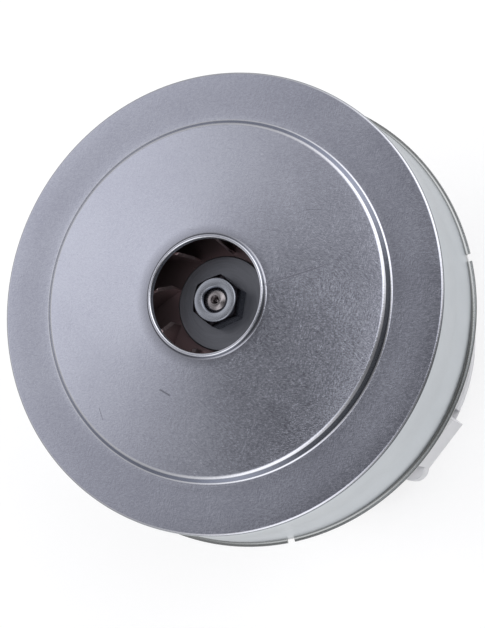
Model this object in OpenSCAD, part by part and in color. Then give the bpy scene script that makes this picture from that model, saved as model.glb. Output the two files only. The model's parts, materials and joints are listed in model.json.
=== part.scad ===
// Suction motor of a canister vacuum cleaner: a two-pole brush motor with a
// single-stage centrifugal fan. The motor stands on its rear bearing boss,
// the shaft runs up the Z axis and the air inlet points up.

/* [Fan cover] */
// Diameter of the cover's side wall
cover_d = 130; // [126:0.1:133]
// How much the wall widens just above the flange
wall_flare = 1.2; // [0.6:0.1:1.4]
// Height over which it widens
flare_h = 8; // [6:0.5:10]
// How far the rolled flange stands out from the wall's foot
flange_w = 1.3; // [1.3:0.1:3]
// Height from the underside of the flange to the flat front face
cover_h = 30; // [29:0.5:36]
// Thickness of the steel sheet
sheet_t = 0.8; // [0.6:0.1:1]
// Diameter where the raised front disc meets the flat face
disc_foot_d = 102.6; // [102.5:0.1:106]
// Diameter of the raised disc at its upper edge
disc_edge_d = 97.3; // [92:0.1:97.4]
// Height of the raised disc over the flat face
disc_rise = 2; // [1.8:0.1:3]
// Fillet at both edges of the raised disc
disc_fillet = 1.25; // [0.85:0.05:1.3]
// Height of the inlet lip over the flat face
lip_rise = 6.3; // [6:0.1:8]
// Clear diameter of the air inlet
inlet_d = 32.4; // [30:0.1:33]
// Outer radius of the rolled inlet lip
lip_r = 0.85; // [0.8:0.05:1.2]
// Straight length of the collar that turns in below the lip
collar_l = 0.9; // [0.5:0.1:1.4]
// Radius of the hollow curve around the lip
lip_blend_r = 5; // [4:0.5:6]
// Rounding between the front face and the side wall
cover_edge_r = 1.8; // [1.2:0.1:2.4]
// Rounding between the side wall and the flange
flange_bend_r = 1; // [0.8:0.1:1.2]
// Number of notches in the flange
notch_count = 4; // [3:1:6]
// Width of a flange notch
notch_w = 2.2; // [1.5:0.1:4]
// Direction of the first notch from the brush axis
notch_angle = 50; // [0:1:90]

/* [Impeller] */
// Number of blades
blade_count = 9; // [7:1:10]
// Thickness of a blade
blade_t = 0.8; // [0.6:0.1:1]
// Height of the blades at the rim
blade_rim_h = 7.2; // [6.4:0.1:7.4]
// Radius at which the blades begin
blade_root_r = 14.6; // [14:0.1:16]
// Turn of a blade from its root to its tip
blade_sweep = 74; // [50:1:85]
// Thickness of the flat back plate
back_plate_t = 1; // [0.8:0.1:1.2]
// Thickness of the conical front shroud
shroud_t = 0.8; // [0.6:0.1:1]
// Height that the shroud gains from its rim to its throat
shroud_rise = 3; // [2.5:0.1:3.2]
// Running gap between the shroud and the cover's flat face
shroud_gap = 1.3; // [1.1:0.1:1.6]
// Radial running gap between the shroud's eye and the cover's collar
eye_gap = 0.6; // [0.5:0.1:0.8]
// Height of the shroud's eye collar
eye_collar_h = 0.9; // [0.6:0.1:1.2]

/* [Impeller clamp] */
// Diameter of the large clamping washer in front of the impeller
front_washer_d = 27.2; // [24:0.1:28]
// Thickness of the large clamping washer
front_washer_t = 2.2; // [1.5:0.1:2.6]
// Diameter of the washer behind the impeller
rear_washer_d = 24; // [20:0.5:25]
// Thickness of the washer behind the impeller
rear_washer_t = 1.2; // [1:0.1:1.4]
// Width across the flats of the shaft nut
nut_af = 13; // [12:0.1:14]
// Height of the shaft nut
nut_h = 6.6; // [5:0.1:7]
// Outer diameter of the spacer sleeve over the front bearing
spacer_d = 11.8; // [10:0.1:12]

/* [Diffuser] */
// Gap between the diffuser's rim and the cover's wall
diffuser_rim_gap = 4; // [3:0.5:6]
// Width of the diffuser's ring outside the impeller
diffuser_ring_w = 8; // [7:0.5:10]
// Thickness of the diffuser plate
diffuser_t = 2; // [1.6:0.1:2.4]
// Running gap between the diffuser plate and the impeller
diffuser_gap = 1.5; // [1:0.1:2]
// Number of diffuser vanes around the impeller
diffuser_vanes = 15; // [11:1:19]
// Number of return vanes below the plate
return_vanes = 12; // [9:1:15]
// Thickness of a vane
vane_t = 1.4; // [1:0.1:1.8]
// Height of the diffuser vanes
diffuser_vane_h = 8.4; // [6:0.2:9]
// Radius of the shaft opening in the plate
diffuser_bore_r = 13; // [12.8:0.1:14]
// Radius at which the return vanes end
return_inner_r = 31; // [30.5:0.5:33]

/* [Motor frame] */
// Diameter of the frame's rim below the cover's flange
frame_rim_d = 132.6; // [131:0.1:133]
// Thickness of the frame's rim
frame_rim_t = 2; // [1.6:0.1:2.6]
// Thickness of the deck inside the cover
deck_t = 2.8; // [2.4:0.1:3.4]
// Height of the spigot that the cover is pressed over
spigot_h = 4.5; // [3.5:0.1:6]
// Wall of the spigot
spigot_t = 2.6; // [2:0.1:3]
// Radius of the air opening in the deck
deck_opening_r = 30; // [28:0.5:30]
// Width of the spokes that carry the front bearing boss
deck_spoke_w = 7; // [6:0.5:9]
// Wall of the front bearing boss
boss_wall = 3.4; // [2.8:0.1:3.6]
// Inner diameter of the cage of four posts
cage_in_d = 97.6; // [96.8:0.2:98]
// Outer diameter of the cage of four posts
cage_out_d = 108.4; // [106:0.2:110]
// Angle that one post covers
post_arc = 22; // [18:1:26]
// Direction of the first post from the brush axis
post_angle = 50; // [49:0.5:52]
// Depth of the ledge that holds the stator down
ledge_depth = 3.4; // [2:0.1:3.6]

/* [Stator] */
// Width of the lamination stack across the brush axis direction
stator_w = 72; // [70:0.5:74]
// Length of the lamination stack along the poles
stator_l = 86; // [85:0.5:88]
// Height of the lamination stack
stack_h = 28; // [26:0.5:32]
// Air gap between rotor and stator
air_gap = 0.6; // [0.4:0.1:0.8]
// Width of a pole neck
pole_neck_w = 28; // [26:0.5:29]
// Thickness of the pole shoe behind the bore
pole_shoe_t = 4.3; // [3.6:0.1:4.6]
// Half angle of the gap between the pole shoes
pole_gap_angle = 28; // [24:1:32]
// Thickness of the side yoke
yoke_side_t = 7; // [6.6:0.1:7.6]
// Thickness of the yoke behind a pole
yoke_back_t = 7.2; // [6.6:0.1:7.6]
// Wall of the coil former
former_t = 0.8; // [0.6:0.1:1]
// Thickness of the former's cheeks
cheek_t = 1.1; // [0.9:0.1:1.3]
// Build of the field coil outward from its former
coil_build = 9; // [7:0.5:9.4]
// Thickness of the yoke at its rounded corners
yoke_corner_t = 5.2; // [4:0.1:5.4]
// Outer corner radius of the field coil
coil_corner_r = 8; // [6:0.5:9]

/* [Rotor] */
// Diameter of the rotor stack
rotor_d = 43.2; // [41:0.1:44]
// Number of rotor slots, and of commutator bars
slot_count = 22; // [18:1:24]
// Radius of the round part of a slot
slot_r = 1.9; // [1.6:0.05:1.95]
// Width of a slot's mouth
slot_mouth_w = 1.8; // [1.4:0.1:2]
// Height of the winding heads towards the fan
front_head_h = 8; // [6:0.5:9]
// Height of the winding heads towards the commutator
rear_head_h = 6.5; // [5:0.5:8]
// Diameter of the winding heads
head_d = 40.4; // [38:0.2:41]
// Diameter of the commutator's running surface
commutator_d = 23; // [21:0.5:25]
// Length of the commutator's running surface
commutator_l = 17; // [15:0.5:19]
// Height of the risers that the wires are hooked on
riser_h = 2.7; // [2:0.1:3.4]
// Diameter over the risers
riser_d = 27.4; // [26:0.2:29]
// Gap between two commutator bars
bar_gap = 0.5; // [0.3:0.1:0.8]

/* [Shaft and bearings] */
// Diameter of the shaft under the rotor stack
shaft_d = 10; // [9:0.1:10.6]
// Outer diameter of the front bearing
front_bearing_d = 22; // [21:0.5:23]
// Bore of the front bearing, and the shaft there
front_journal_d = 8; // [7:0.1:8.4]
// Width of the front bearing
front_bearing_w = 7; // [6:0.5:8]
// Outer diameter of the rear bearing
rear_bearing_d = 19; // [18.5:0.5:20]
// Bore of the rear bearing, and the shaft there
rear_journal_d = 7; // [6:0.1:7.2]
// Width of the rear bearing
rear_bearing_w = 6; // [5:0.5:7]
// Ball diameter in the front bearing
front_ball_d = 3.9; // [3.4:0.1:4]
// Ball diameter in the rear bearing
rear_ball_d = 3.4; // [3:0.1:3.5]
// Number of balls in each bearing
ball_count = 7; // [6:1:7]
// Wall of the rubber sleeve around the rear bearing
sleeve_t = 1.5; // [1.2:0.1:2]

/* [Rear bracket] */
// Diameter of the rear bearing boss that the motor stands on
rear_boss_d = 30; // [29:0.5:34]
// Height by which the boss stands below the bracket's floor
rear_boss_h = 5; // [4:0.5:6]
// Thickness of the floor under the rear bearing
rear_floor_t = 3; // [2.4:0.1:4]
// Radius of the bracket's central plate
rear_plate_r = 26; // [24:0.5:28]
// Thickness of the bracket's central plate
rear_plate_t = 3; // [2.4:0.1:3.6]
// Height of the bracket's ring
ring_h = 9.4; // [8:0.2:11]
// Radial width of the bracket's ring
ring_w = 7; // [6:0.2:8]
// Thickness of the bracket's arms
arm_w = 6; // [5:0.5:8]
// Height of an arm's root at the boss
arm_root_h = 7; // [5:0.5:8]

/* [Brush gear] */
// Distance from the shaft to the outer end of a brush holder
holder_reach = 55.6; // [55:0.1:58]
// Width of a brush holder
holder_w = 18; // [16:0.2:19]
// Height of a brush holder
holder_h = 15.4; // [15.2:0.2:18]
// Wall of the brass brush guide
guide_t = 0.8; // [0.6:0.1:1]
// Width of a carbon brush
brush_w = 6.4; // [5:0.1:7]
// Height of a carbon brush along the shaft
brush_h = 11; // [9:0.1:11.6]
// Length of a carbon brush
brush_l = 30; // [24:0.5:32]
// Outward travel of a brush against its spring
brush_travel = 6; // [3:0.5:6]
// Outer diameter of the brush spring
spring_d = 5.6; // [4.6:0.1:6]
// Wire diameter of the brush spring
spring_wire_d = 0.6; // [0.4:0.1:0.7]
// Number of spring turns
spring_turns = 8; // [6:1:10]
// Width of the flat plug terminals
tab_w = 6.3; // [4.8:0.1:6.3]
// Thickness of the flat plug terminals
tab_t = 0.8; // [0.5:0.1:0.8]
// Free length of the flat plug terminals
tab_l = 8; // [6:0.5:9]
// Diameter of the insulated coil leads
lead_d = 2; // [1.6:0.1:2.2]

/* [Fasteners] */
// Diameter of the screws that join rear bracket and frame
bracket_screw_d = 3; // [2.5:0.1:3.2]
// Diameter of the screws that hold the stator
stator_screw_d = 4; // [3.5:0.1:4.2]
// Diameter of the small screws of diffuser, retainer and brush holders
small_screw_d = 2.5; // [2:0.1:2.9]
// Grip length of a screw in plastic
screw_grip = 12; // [8:1:14]

/* [Hidden] */

$fn = 96;
small_fn = 32;
// Overrun of every cut past the face it opens
cut = 1;
// Clearance of parts that are slipped together
slip = 0.2;
// Clearance between still parts that must not touch
apart = 0.3;
// Clearance of the balls in their grooves and pockets
ball_play = 0.06;

// Fan cover
wall_r = cover_d / 2;
wall_foot_r = wall_r + wall_flare;
flange_r = wall_foot_r + flange_w;
inlet_r = inlet_d / 2;
lip_turn = 42;
cone_slope = 4.9;
disc_ramp_angle = 58;
notch_depth_share = 0.9;

// Levels along the shaft, from the boss that the motor stands on upwards
sleeve_floor_t = 0.6;
rear_bearing_z = rear_floor_t + sleeve_floor_t;
shaft_foot_gap = 0.4;
commutator_gap = 6.9;
commutator_z = rear_bearing_z + rear_bearing_w + commutator_gap;
riser_z = commutator_z + commutator_l;
rear_head_z = riser_z + riser_h;
end_disc_t = 0.5;
stack_z = rear_head_z + rear_head_h;
stack_top_z = stack_z + stack_h;
coil_top_z = stack_top_z + former_t + coil_build;
deck_z = coil_top_z + apart;
flange_z = deck_z + frame_rim_t;
deck_top_z = deck_z + deck_t;
face_z = flange_z + cover_h;
lip_z = face_z + lip_rise;
collar_z = lip_z - lip_r - collar_l;

// Impeller stack, hung below the cover's face
shroud_rim_z = face_z - sheet_t - shroud_gap - shroud_t;
back_plate_z = shroud_rim_z - blade_rim_h - back_plate_t;
rear_washer_z = back_plate_z - rear_washer_t;
front_washer_z = back_plate_z + back_plate_t;
nut_z = front_washer_z + front_washer_t;
shaft_tip = 0.3;
shaft_top_z = nut_z + nut_h - shaft_tip;
diffuser_r = wall_r - sheet_t - diffuser_rim_gap;
impeller_r = diffuser_r - diffuser_ring_w;
eye_r = inlet_r + sheet_t + eye_gap;
throat_bend_r = 2.4;
blade_bevel = 2.6;
blade_steps = 10;

// Diffuser
diffuser_top_z = back_plate_z - diffuser_gap;
diffuser_z = diffuser_top_z - diffuser_t;
vane_in_gap = 1.6;
vane_rim_gap = 0.4;
vane_steps = 6;
diffuser_vane_sweep = 16;
return_vane_sweep = -52;
diffuser_post_r = 3.6;
diffuser_post_inset = 6.5;
diffuser_post_ring_r = impeller_r - diffuser_post_inset;
diffuser_screw_count = 3;
diffuser_screw_angle = 15;

// Motor frame
frame_rim_r = frame_rim_d / 2;
spigot_lean = wall_flare * spigot_h / flare_h;
spigot_r = wall_foot_r - sheet_t - slip - spigot_lean;
front_bearing_r = front_bearing_d / 2;
boss_r = front_bearing_r + boss_wall;
front_bearing_z = deck_top_z + 2 * sheet_t;
boss_top_z = front_bearing_z + front_bearing_w;
boss_floor_t = 1.6;
boss_shaft_gap = 1.6;
spoke_count = 4;
cage_in_r = cage_in_d / 2;
cage_out_r = cage_out_d / 2;
post_angles = [post_angle, 180 - post_angle, 180 + post_angle, 360 - post_angle];
post_mid_r = (cage_in_r + cage_out_r) / 2;
pillar_r = 3.9;
retainer_t = 1;
retainer_lip = 1.8;
retainer_screw_count = 2;
retainer_angle = 45;
retainer_ear_r = 2.8;

// Stator
bore_r = rotor_d / 2 + air_gap;
shoe_r = bore_r + pole_shoe_t;
window_x = stator_w / 2 - yoke_side_t;
window_y = stator_l / 2 - yoke_back_t;
stator_screw_x = stator_w / 2 - yoke_side_t / 2;
stator_screw_hole_gap = 0.15;
former_in_y = shoe_r - cheek_t - apart;
coil_in_y = former_in_y + cheek_t + apart / 2;
former_out_y = window_y - slip;
coil_out_y = former_out_y - cheek_t - apart / 2;
coil_depth = coil_out_y - coil_in_y;
former_x = pole_neck_w / 2 + apart / 3;
former_z0 = stack_z - former_t - apart / 3;
former_z1 = stack_top_z + former_t + apart / 3;
coil_wind = coil_build - former_t - apart;
coil_half_w = former_x + former_t + apart / 3 + coil_wind;
cheek_half_w = coil_half_w + apart / 3;
cheek_overhang = coil_build - 3 * apart;

// Rotor
rotor_r = rotor_d / 2;
slot_depth_in = 1.9;
slot_ring_r = rotor_r - slot_r - slot_depth_in;
slot_wire_gap = 0.15;
wedge_t = 1.2;
head_r = head_d / 2;
head_round_r = 3;
head_bore_gap = 1.4;
shaft_r = shaft_d / 2;
commutator_r = commutator_d / 2;
riser_r = riser_d / 2;
commutator_core_r = 7.6;
shaft_step_gap = 4;

// Bearings
front_journal_r = front_journal_d / 2;
rear_journal_r = rear_journal_d / 2;
rear_bearing_r = rear_bearing_d / 2;
race_share = 0.27;
shield_t = 0.3;
shield_inset = 0.25;
cage_t = 0.8;
cage_h_share = 1.2;

// Rear bracket, and the ears of the brush holders on it
ear_w = 6.4;
ear_l = 8.8;
ear_h = 6;
ear_screw_inset = 2.5;
ear_screw_setback = 6;
ear_proud = 0.8;
shelf_t = 3;
rear_boss_r = rear_boss_d / 2;
rear_pocket_r = rear_bearing_r + sleeve_t;
rear_boss_top_z = rear_bearing_z + rear_bearing_w;
boss_chamfer = 0.6;
brush_z = commutator_z + commutator_l / 2;
holder_z = brush_z - holder_h / 2;
ring_z = holder_z - shelf_t;
ring_taper_h = 5.7;
ring_taper = 1.3;
ring_top_z = ring_z + ring_h;
ring_in_r = cage_out_r - ring_w;
shelf_w = holder_w + 2 * shelf_t;
ear_reach = holder_w / 2 + ear_screw_inset + ear_l / 2;
arm_tip_h = 4;
// Height of an arm's lower edge over the ring's foot
arm_lift = 2;
vent_count = 8;
vent_r = 2.2;
vent_ring_r = 20.4;

// Brush gear
brush_gap = 0.1;
brush_play = 0.1;
guide_in_w = brush_w + 2 * brush_play;
guide_in_h = brush_h + 2 * brush_play;
guide_out_w = guide_in_w + 2 * guide_t;
guide_out_h = guide_in_h + 2 * guide_t;
guide_riser_gap = 1.2;
guide_end_inset = 1.8;
guide_proud = 2.4;
guide_x0 = riser_r + guide_riser_gap;
guide_x1 = holder_reach - guide_end_inset;
holder_x0 = guide_x0 + guide_proud;
ear_x = holder_reach + ear_proud - ear_l / 2;
// The window in the holder shows the brush's tail over its whole travel
holder_window_l = 2 * brush_travel + shelf_t;
holder_window_inset = 4.6;
holder_window_x = holder_x0 + holder_window_inset;
holder_window_depth = 4.4;
brush_x0 = commutator_r + brush_gap;
brush_x1 = commutator_r + brush_l;
terminal_x = guide_x1;
terminal_plate_h = guide_out_h;
spring_end_gap = 0.1;
spring_x0 = brush_x1 + spring_end_gap;
spring_x1 = guide_x1 - spring_end_gap;
slot_side_gap = 0.1;

// Coil leads: the route of one lead, chosen by hand, from the coil to the plug terminal
lead_points = [
    [23.2, 29.6, 37.6], [26.4, 29.5, 37.8], [30, 28.4, 38], [33.8, 26, 38.2], [37.4, 22.2, 38.4],
    [40.8, 17.6, 38.6], [44, 12.8, 38.7], [46.8, 8.4, 38.8], [49.4, 4.8, 38.8],
    [51.6, 2.6, 38.8], [53.4, 1.9, 38.7]
];
lead_sides = 8;

// Screw heads
head_d_share = 1.9;
head_h_share = 0.62;
recess_w_share = 0.24;
recess_l_share = 1.1;
recess_depth_share = 0.34;

// Points on a circle arc in a plane
function arc(centre, r, a0, a1, n) = [
    for (i = [0:n]) centre + r * [cos(a0 + (a1 - a0) * i / n), sin(a0 + (a1 - a0) * i / n)]
];
function right_normal(a, b) = [b[1] - a[1], a[0] - b[0]] / norm(b - a);
function reversed(p) = [for (i = [len(p) - 1:-1:0]) p[i]];
// A line moved sideways by t, to the right of its direction
function moved(p, t) = [
    for (i = [0:len(p) - 1])
        let (
            before = right_normal(p[max(i - 1, 0)], p[max(i, 1)]),
            after = right_normal(p[min(i, len(p) - 2)], p[min(i + 1, len(p) - 1)]),
            both = before + after
        )
        p[i] + t * 2 * both / (both * both)
];
// The outline of a strip of thickness t along a line
function strip(p, t) = concat(p, reversed(moved(p, t)));
function polar(r, a) = [r * cos(a), r * sin(a)];
// A spiral line from radius r0 to r1 that turns by sweep
function spiral(r0, r1, sweep, n) = [
    for (i = [0:n]) polar(r0 + (r1 - r0) * i / n, sweep * pow(i / n, 0.8))
];

// Visible side of the cover's sheet, from the collar's end to the flange's edge
function cover_line() =
    let (
        lip = [inlet_r + lip_r, lip_z - lip_r],
        blend = lip + (lip_r + lip_blend_r) * [cos(lip_turn), sin(lip_turn)],
        edge = [disc_edge_d / 2, face_z + disc_rise - disc_fillet],
        foot = [disc_foot_d / 2, face_z + disc_fillet],
        corner = [wall_r - cover_edge_r, face_z - cover_edge_r],
        bend = [wall_foot_r + flange_bend_r, flange_z + sheet_t + flange_bend_r]
    )
    concat(
        [[inlet_r, collar_z]],
        arc(lip, lip_r, 180, lip_turn, 10),
        arc(blend, lip_blend_r, 180 + lip_turn + 4, 270 - cone_slope, 8),
        arc(edge, disc_fillet, 90 - cone_slope, 90 - disc_ramp_angle, 4),
        arc(foot, disc_fillet, 270 - disc_ramp_angle, 270, 4),
        arc(corner, cover_edge_r, 90, 0, 7),
        [[wall_r, bend[1] + flare_h]],
        arc(bend, flange_bend_r, 180, 270, 5),
        [[flange_r, flange_z + sheet_t]]
    );

// A solid of revolution around the shaft axis
module turned(points) {
    rotate_extrude() polygon(points);
}

module tube(r_out, r_in, h) {
    difference() {
        cylinder(r = r_out, h = h);
        translate([0, 0, -cut]) cylinder(r = r_in, h = h + 2 * cut);
    }
}

// A rectangle with round corners, centred
module rounded(w, l, r) {
    square([w - 2 * r, l], center = true);
    square([w, l - 2 * r], center = true);
    for (x = [-1, 1], y = [-1, 1])
        translate([x * (w / 2 - r), y * (l / 2 - r)]) circle(r = r, $fn = small_fn);
}

// The part of a ring that lies within an arc around direction a
module ring_arc(r_out, r_in, h, a, width) {
    reach = r_out + cut;
    intersection() {
        tube(r_out, r_in, h);
        linear_extrude(h) polygon([
            [0, 0],
            polar(reach / cos(width / 2), a - width / 2),
            polar(reach / cos(width / 2), a + width / 2)
        ]);
    }
}

module at_polar(r, a) {
    rotate([0, 0, a]) translate([r, 0, 0]) children();
}

// Copies one half of the brush gear or field to the other side of the shaft
module side(b) {
    rotate([0, 0, b ? 180 : 0]) children();
}

// A screw with its seat at z 0, its head above and its shank below
module screw(d, l) {
    head_r = d * head_d_share / 2;
    head_h = d * head_h_share;
    difference() {
        union() {
            translate([0, 0, -l]) cylinder(r = d / 2, h = l, $fn = small_fn);
            cylinder(r = head_r, h = head_h, $fn = small_fn);
        }
        for (turn = [0, 90])
            rotate([0, 0, turn])
                translate([-d * recess_l_share / 2, -d * recess_w_share / 2,
                    head_h - d * recess_depth_share])
                    cube([d * recess_l_share, d * recess_w_share, d]);
    }
}

module fan_cover() {
    color([0.66, 0.67, 0.7])
    difference() {
        turned(strip(cover_line(), sheet_t));
        for (i = [0:notch_count - 1])
            rotate([0, 0, notch_angle + i * 360 / notch_count])
                translate([wall_foot_r + slip, -notch_w / 2, flange_z - cut])
                    cube([flange_r, notch_w, flange_bend_r + sheet_t + 2 * cut]);
    }
}

module diffuser_screw_places(z) {
    for (i = [0:diffuser_screw_count - 1])
        at_polar(diffuser_post_ring_r, diffuser_screw_angle + i * 360 / diffuser_screw_count)
            translate([0, 0, z]) children();
}

module diffuser() {
    vane_in_r = impeller_r + vane_in_gap;
    color([0.16, 0.16, 0.17])
    difference() {
        union() {
            translate([0, 0, diffuser_z]) cylinder(r = diffuser_r, h = diffuser_t);
            for (i = [0:diffuser_vanes - 1])
                rotate([0, 0, i * 360 / diffuser_vanes])
                    translate([0, 0, diffuser_top_z - diffuser_t / 2])
                        linear_extrude(diffuser_vane_h + diffuser_t / 2)
                            polygon(strip(spiral(vane_in_r, diffuser_r - vane_rim_gap,
                                diffuser_vane_sweep, vane_steps), vane_t));
            for (i = [0:return_vanes - 1])
                rotate([0, 0, i * 360 / return_vanes])
                    translate([0, 0, deck_top_z])
                        linear_extrude(diffuser_z - deck_top_z + diffuser_t / 2)
                            polygon(strip(spiral(diffuser_r - spigot_t - vane_t, return_inner_r,
                                return_vane_sweep, vane_steps), vane_t));
            diffuser_screw_places(deck_top_z)
                cylinder(r = diffuser_post_r, h = diffuser_z - deck_top_z + diffuser_t / 2,
                    $fn = small_fn);
        }
        translate([0, 0, diffuser_z - cut])
            cylinder(r = diffuser_bore_r, h = diffuser_t + 2 * cut);
        diffuser_screw_places(deck_top_z - cut)
            cylinder(r = small_screw_d / 2, h = cover_h, $fn = small_fn);
        diffuser_screw_places(diffuser_z)
            cylinder(r = small_screw_d * head_d_share / 2 + slip, h = cover_h, $fn = small_fn);
    }
}

module diffuser_screws() {
    color([0.7, 0.7, 0.68])
        diffuser_screw_places(diffuser_z)
            screw(small_screw_d, diffuser_z - deck_top_z + deck_t);
}

module retainer_places(z) {
    for (i = [0:retainer_screw_count - 1])
        at_polar(boss_r, retainer_angle + i * 360 / retainer_screw_count)
            translate([0, 0, z]) children();
}

module deck() {
    translate([0, 0, deck_z]) {
        tube(frame_rim_r, deck_opening_r, frame_rim_t);
        tube(spigot_r, deck_opening_r, deck_t);
        tube(spigot_r, spigot_r - spigot_t, frame_rim_t + spigot_h);
    }
}

module bearing_boss() {
    translate([0, 0, deck_z]) {
        cylinder(r = boss_r, h = boss_top_z - deck_z);
        for (i = [0:spoke_count - 1])
            rotate([0, 0, i * 360 / spoke_count])
                translate([0, -deck_spoke_w / 2, 0])
                    cube([deck_opening_r + deck_spoke_w / 2, deck_spoke_w, deck_t]);
    }
    retainer_places(deck_top_z)
        cylinder(r = retainer_ear_r, h = boss_top_z - deck_top_z, $fn = small_fn);
}

module posts() {
    for (a = post_angles) {
        translate([0, 0, ring_top_z])
            ring_arc(cage_out_r, cage_in_r, deck_z - ring_top_z + deck_t / 2, a, post_arc);
        translate([0, 0, stack_top_z])
            ring_arc(cage_out_r, cage_in_r - ledge_depth, deck_z - stack_top_z + deck_t / 2,
                a, post_arc);
    }
    for (x = [-1, 1])
        translate([x * stator_screw_x, 0, stack_top_z])
            cylinder(r = pillar_r, h = deck_z - stack_top_z + deck_t / 2, $fn = small_fn);
}

module motor_frame() {
    color([0.9, 0.9, 0.89])
    difference() {
        union() {
            deck();
            bearing_boss();
            posts();
        }
        translate([0, 0, front_bearing_z])
            cylinder(r = front_bearing_r, h = front_bearing_w + cut);
        translate([0, 0, deck_z - cut])
            cylinder(r = front_journal_r + boss_shaft_gap, h = cover_h);
        translate([0, 0, deck_z - cut])
            cylinder(r = front_bearing_r - boss_wall / 2,
                h = front_bearing_z - deck_z - boss_floor_t + cut);
        for (a = post_angles)
            at_polar(post_mid_r, a)
                translate([0, 0, ring_top_z - cut])
                    cylinder(r = bracket_screw_d / 2, h = screw_grip + cut, $fn = small_fn);
        for (x = [-1, 1])
            translate([x * stator_screw_x, 0, stack_top_z - cut])
                cylinder(r = stator_screw_d / 2, h = deck_z - stack_top_z + cut, $fn = small_fn);
        diffuser_screw_places(deck_z - cut)
            cylinder(r = small_screw_d / 2, h = deck_t + 2 * cut, $fn = small_fn);
        retainer_places(boss_top_z - front_bearing_w)
            cylinder(r = small_screw_d / 2, h = front_bearing_w + cut, $fn = small_fn);
    }
}

module bearing_retainer() {
    color([0.72, 0.72, 0.74])
    translate([0, 0, boss_top_z])
    difference() {
        union() {
            cylinder(r = boss_r, h = retainer_t);
            retainer_places(0) cylinder(r = retainer_ear_r, h = retainer_t, $fn = small_fn);
        }
        translate([0, 0, -cut])
            cylinder(r = front_bearing_r - retainer_lip, h = retainer_t + 2 * cut);
        retainer_places(-cut)
            cylinder(r = small_screw_d / 2, h = retainer_t + 2 * cut, $fn = small_fn);
    }
}

module retainer_screws() {
    color([0.7, 0.7, 0.68])
        retainer_places(boss_top_z + retainer_t)
            screw(small_screw_d, retainer_t + front_bearing_w);
}

// One sheet of the field, with two poles along Y
module field_sheet() {
    difference() {
        intersection() {
            square([stator_w, stator_l], center = true);
            circle(r = cage_in_r - slip);
        }
        circle(r = bore_r);
        for (turn = [0, 180])
            rotate([0, 0, turn])
                difference() {
                    intersection() {
                        translate([pole_neck_w / 2, -window_y])
                            square([window_x - pole_neck_w / 2, 2 * window_y]);
                        circle(r = cage_in_r - slip - yoke_corner_t);
                    }
                    difference() {
                        circle(r = shoe_r);
                        polygon([
                            [0, 0],
                            polar(2 * shoe_r, -pole_gap_angle),
                            polar(2 * shoe_r, pole_gap_angle)
                        ]);
                    }
                }
        for (x = [-1, 1])
            translate([x * stator_screw_x, 0])
                circle(r = stator_screw_d / 2 + stator_screw_hole_gap, $fn = small_fn);
    }
}

module stator_core() {
    color([0.42, 0.43, 0.45])
        translate([0, 0, stack_z]) linear_extrude(stack_h) field_sheet();
}

module stator_screws() {
    color([0.7, 0.7, 0.68])
    for (x = [-1, 1])
        translate([x * stator_screw_x, 0, stack_z])
            mirror([0, 0, 1])
                screw(stator_screw_d, deck_z - stack_z - cut);
}

// The plastic former around one pole neck, with cheeks at both ends of the stack
module coil_former(b) {
    depth = former_out_y - former_in_y;
    tube_h = former_z1 - former_z0;
    color([0.86, 0.83, 0.74])
    side(b) {
        difference() {
            translate([-former_x - former_t, coil_in_y - apart / 2, former_z0 - former_t])
                cube([2 * (former_x + former_t), coil_depth + apart, tube_h + 2 * former_t]);
            translate([-former_x, coil_in_y - cut, former_z0])
                cube([2 * former_x, coil_depth + 2 * cut, tube_h]);
        }
        for (z = [former_z0 - former_t - cheek_overhang, former_z1])
            for (y = [former_in_y, former_out_y - cheek_t])
                translate([-cheek_half_w, y, z])
                    cube([2 * cheek_half_w, cheek_t, cheek_overhang + former_t]);
    }
}

// One field coil as the rounded bundle that its turns fill
module field_coil(b) {
    in_w = 2 * (former_x + former_t + apart / 3);
    in_h = former_z1 - former_z0 + 2 * (former_t + apart / 3);
    color([0.72, 0.4, 0.2])
    side(b)
        translate([0, coil_out_y, (former_z0 + former_z1) / 2])
            rotate([90, 0, 0])
                linear_extrude(coil_depth)
                    difference() {
                        rounded(2 * coil_half_w, in_h + 2 * coil_wind, coil_corner_r);
                        square([in_w, in_h], center = true);
                    }
}

// Pieces of a ball bearing that is centred on the shaft, standing on z 0
function pitch_r(r_out, r_in) = (r_out + r_in) / 2;
function race_t(r_out, r_in) = (r_out - r_in) * race_share;

module groove(r_out, r_in, w, ball_d) {
    translate([0, 0, w / 2])
        rotate_extrude()
            translate([pitch_r(r_out, r_in), 0])
                circle(r = ball_d / 2 + ball_play, $fn = small_fn);
}

module bearing_outer(r_out, r_in, w, ball_d) {
    difference() {
        tube(r_out, r_out - race_t(r_out, r_in), w);
        groove(r_out, r_in, w, ball_d);
    }
}

module bearing_inner(r_out, r_in, w, ball_d) {
    difference() {
        tube(r_in + race_t(r_out, r_in), r_in, w);
        groove(r_out, r_in, w, ball_d);
    }
}

module bearing_shields(r_out, r_in, w) {
    for (z = [shield_inset, w - shield_inset - shield_t])
        translate([0, 0, z])
            tube(r_out - race_t(r_out, r_in), r_in + race_t(r_out, r_in) + apart, shield_t);
}

module bearing_balls(r_out, r_in, w, ball_d) {
    for (i = [0:ball_count - 1])
        at_polar(pitch_r(r_out, r_in), i * 360 / ball_count)
            translate([0, 0, w / 2]) sphere(r = ball_d / 2, $fn = small_fn);
}

module bearing_cage(r_out, r_in, w, ball_d) {
    h = ball_d * cage_h_share;
    r = pitch_r(r_out, r_in);
    difference() {
        translate([0, 0, (w - h) / 2]) tube(r + cage_t / 2, r - cage_t / 2, h);
        for (i = [0:ball_count - 1])
            at_polar(r, i * 360 / ball_count)
                translate([-cage_t, 0, w / 2])
                    rotate([0, 90, 0])
                        cylinder(r = ball_d / 2 + ball_play, h = 2 * cage_t, $fn = small_fn);
    }
}

module front_bearing_place() {
    translate([0, 0, front_bearing_z]) children();
}

module rear_bearing_place() {
    translate([0, 0, rear_bearing_z]) children();
}

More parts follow.
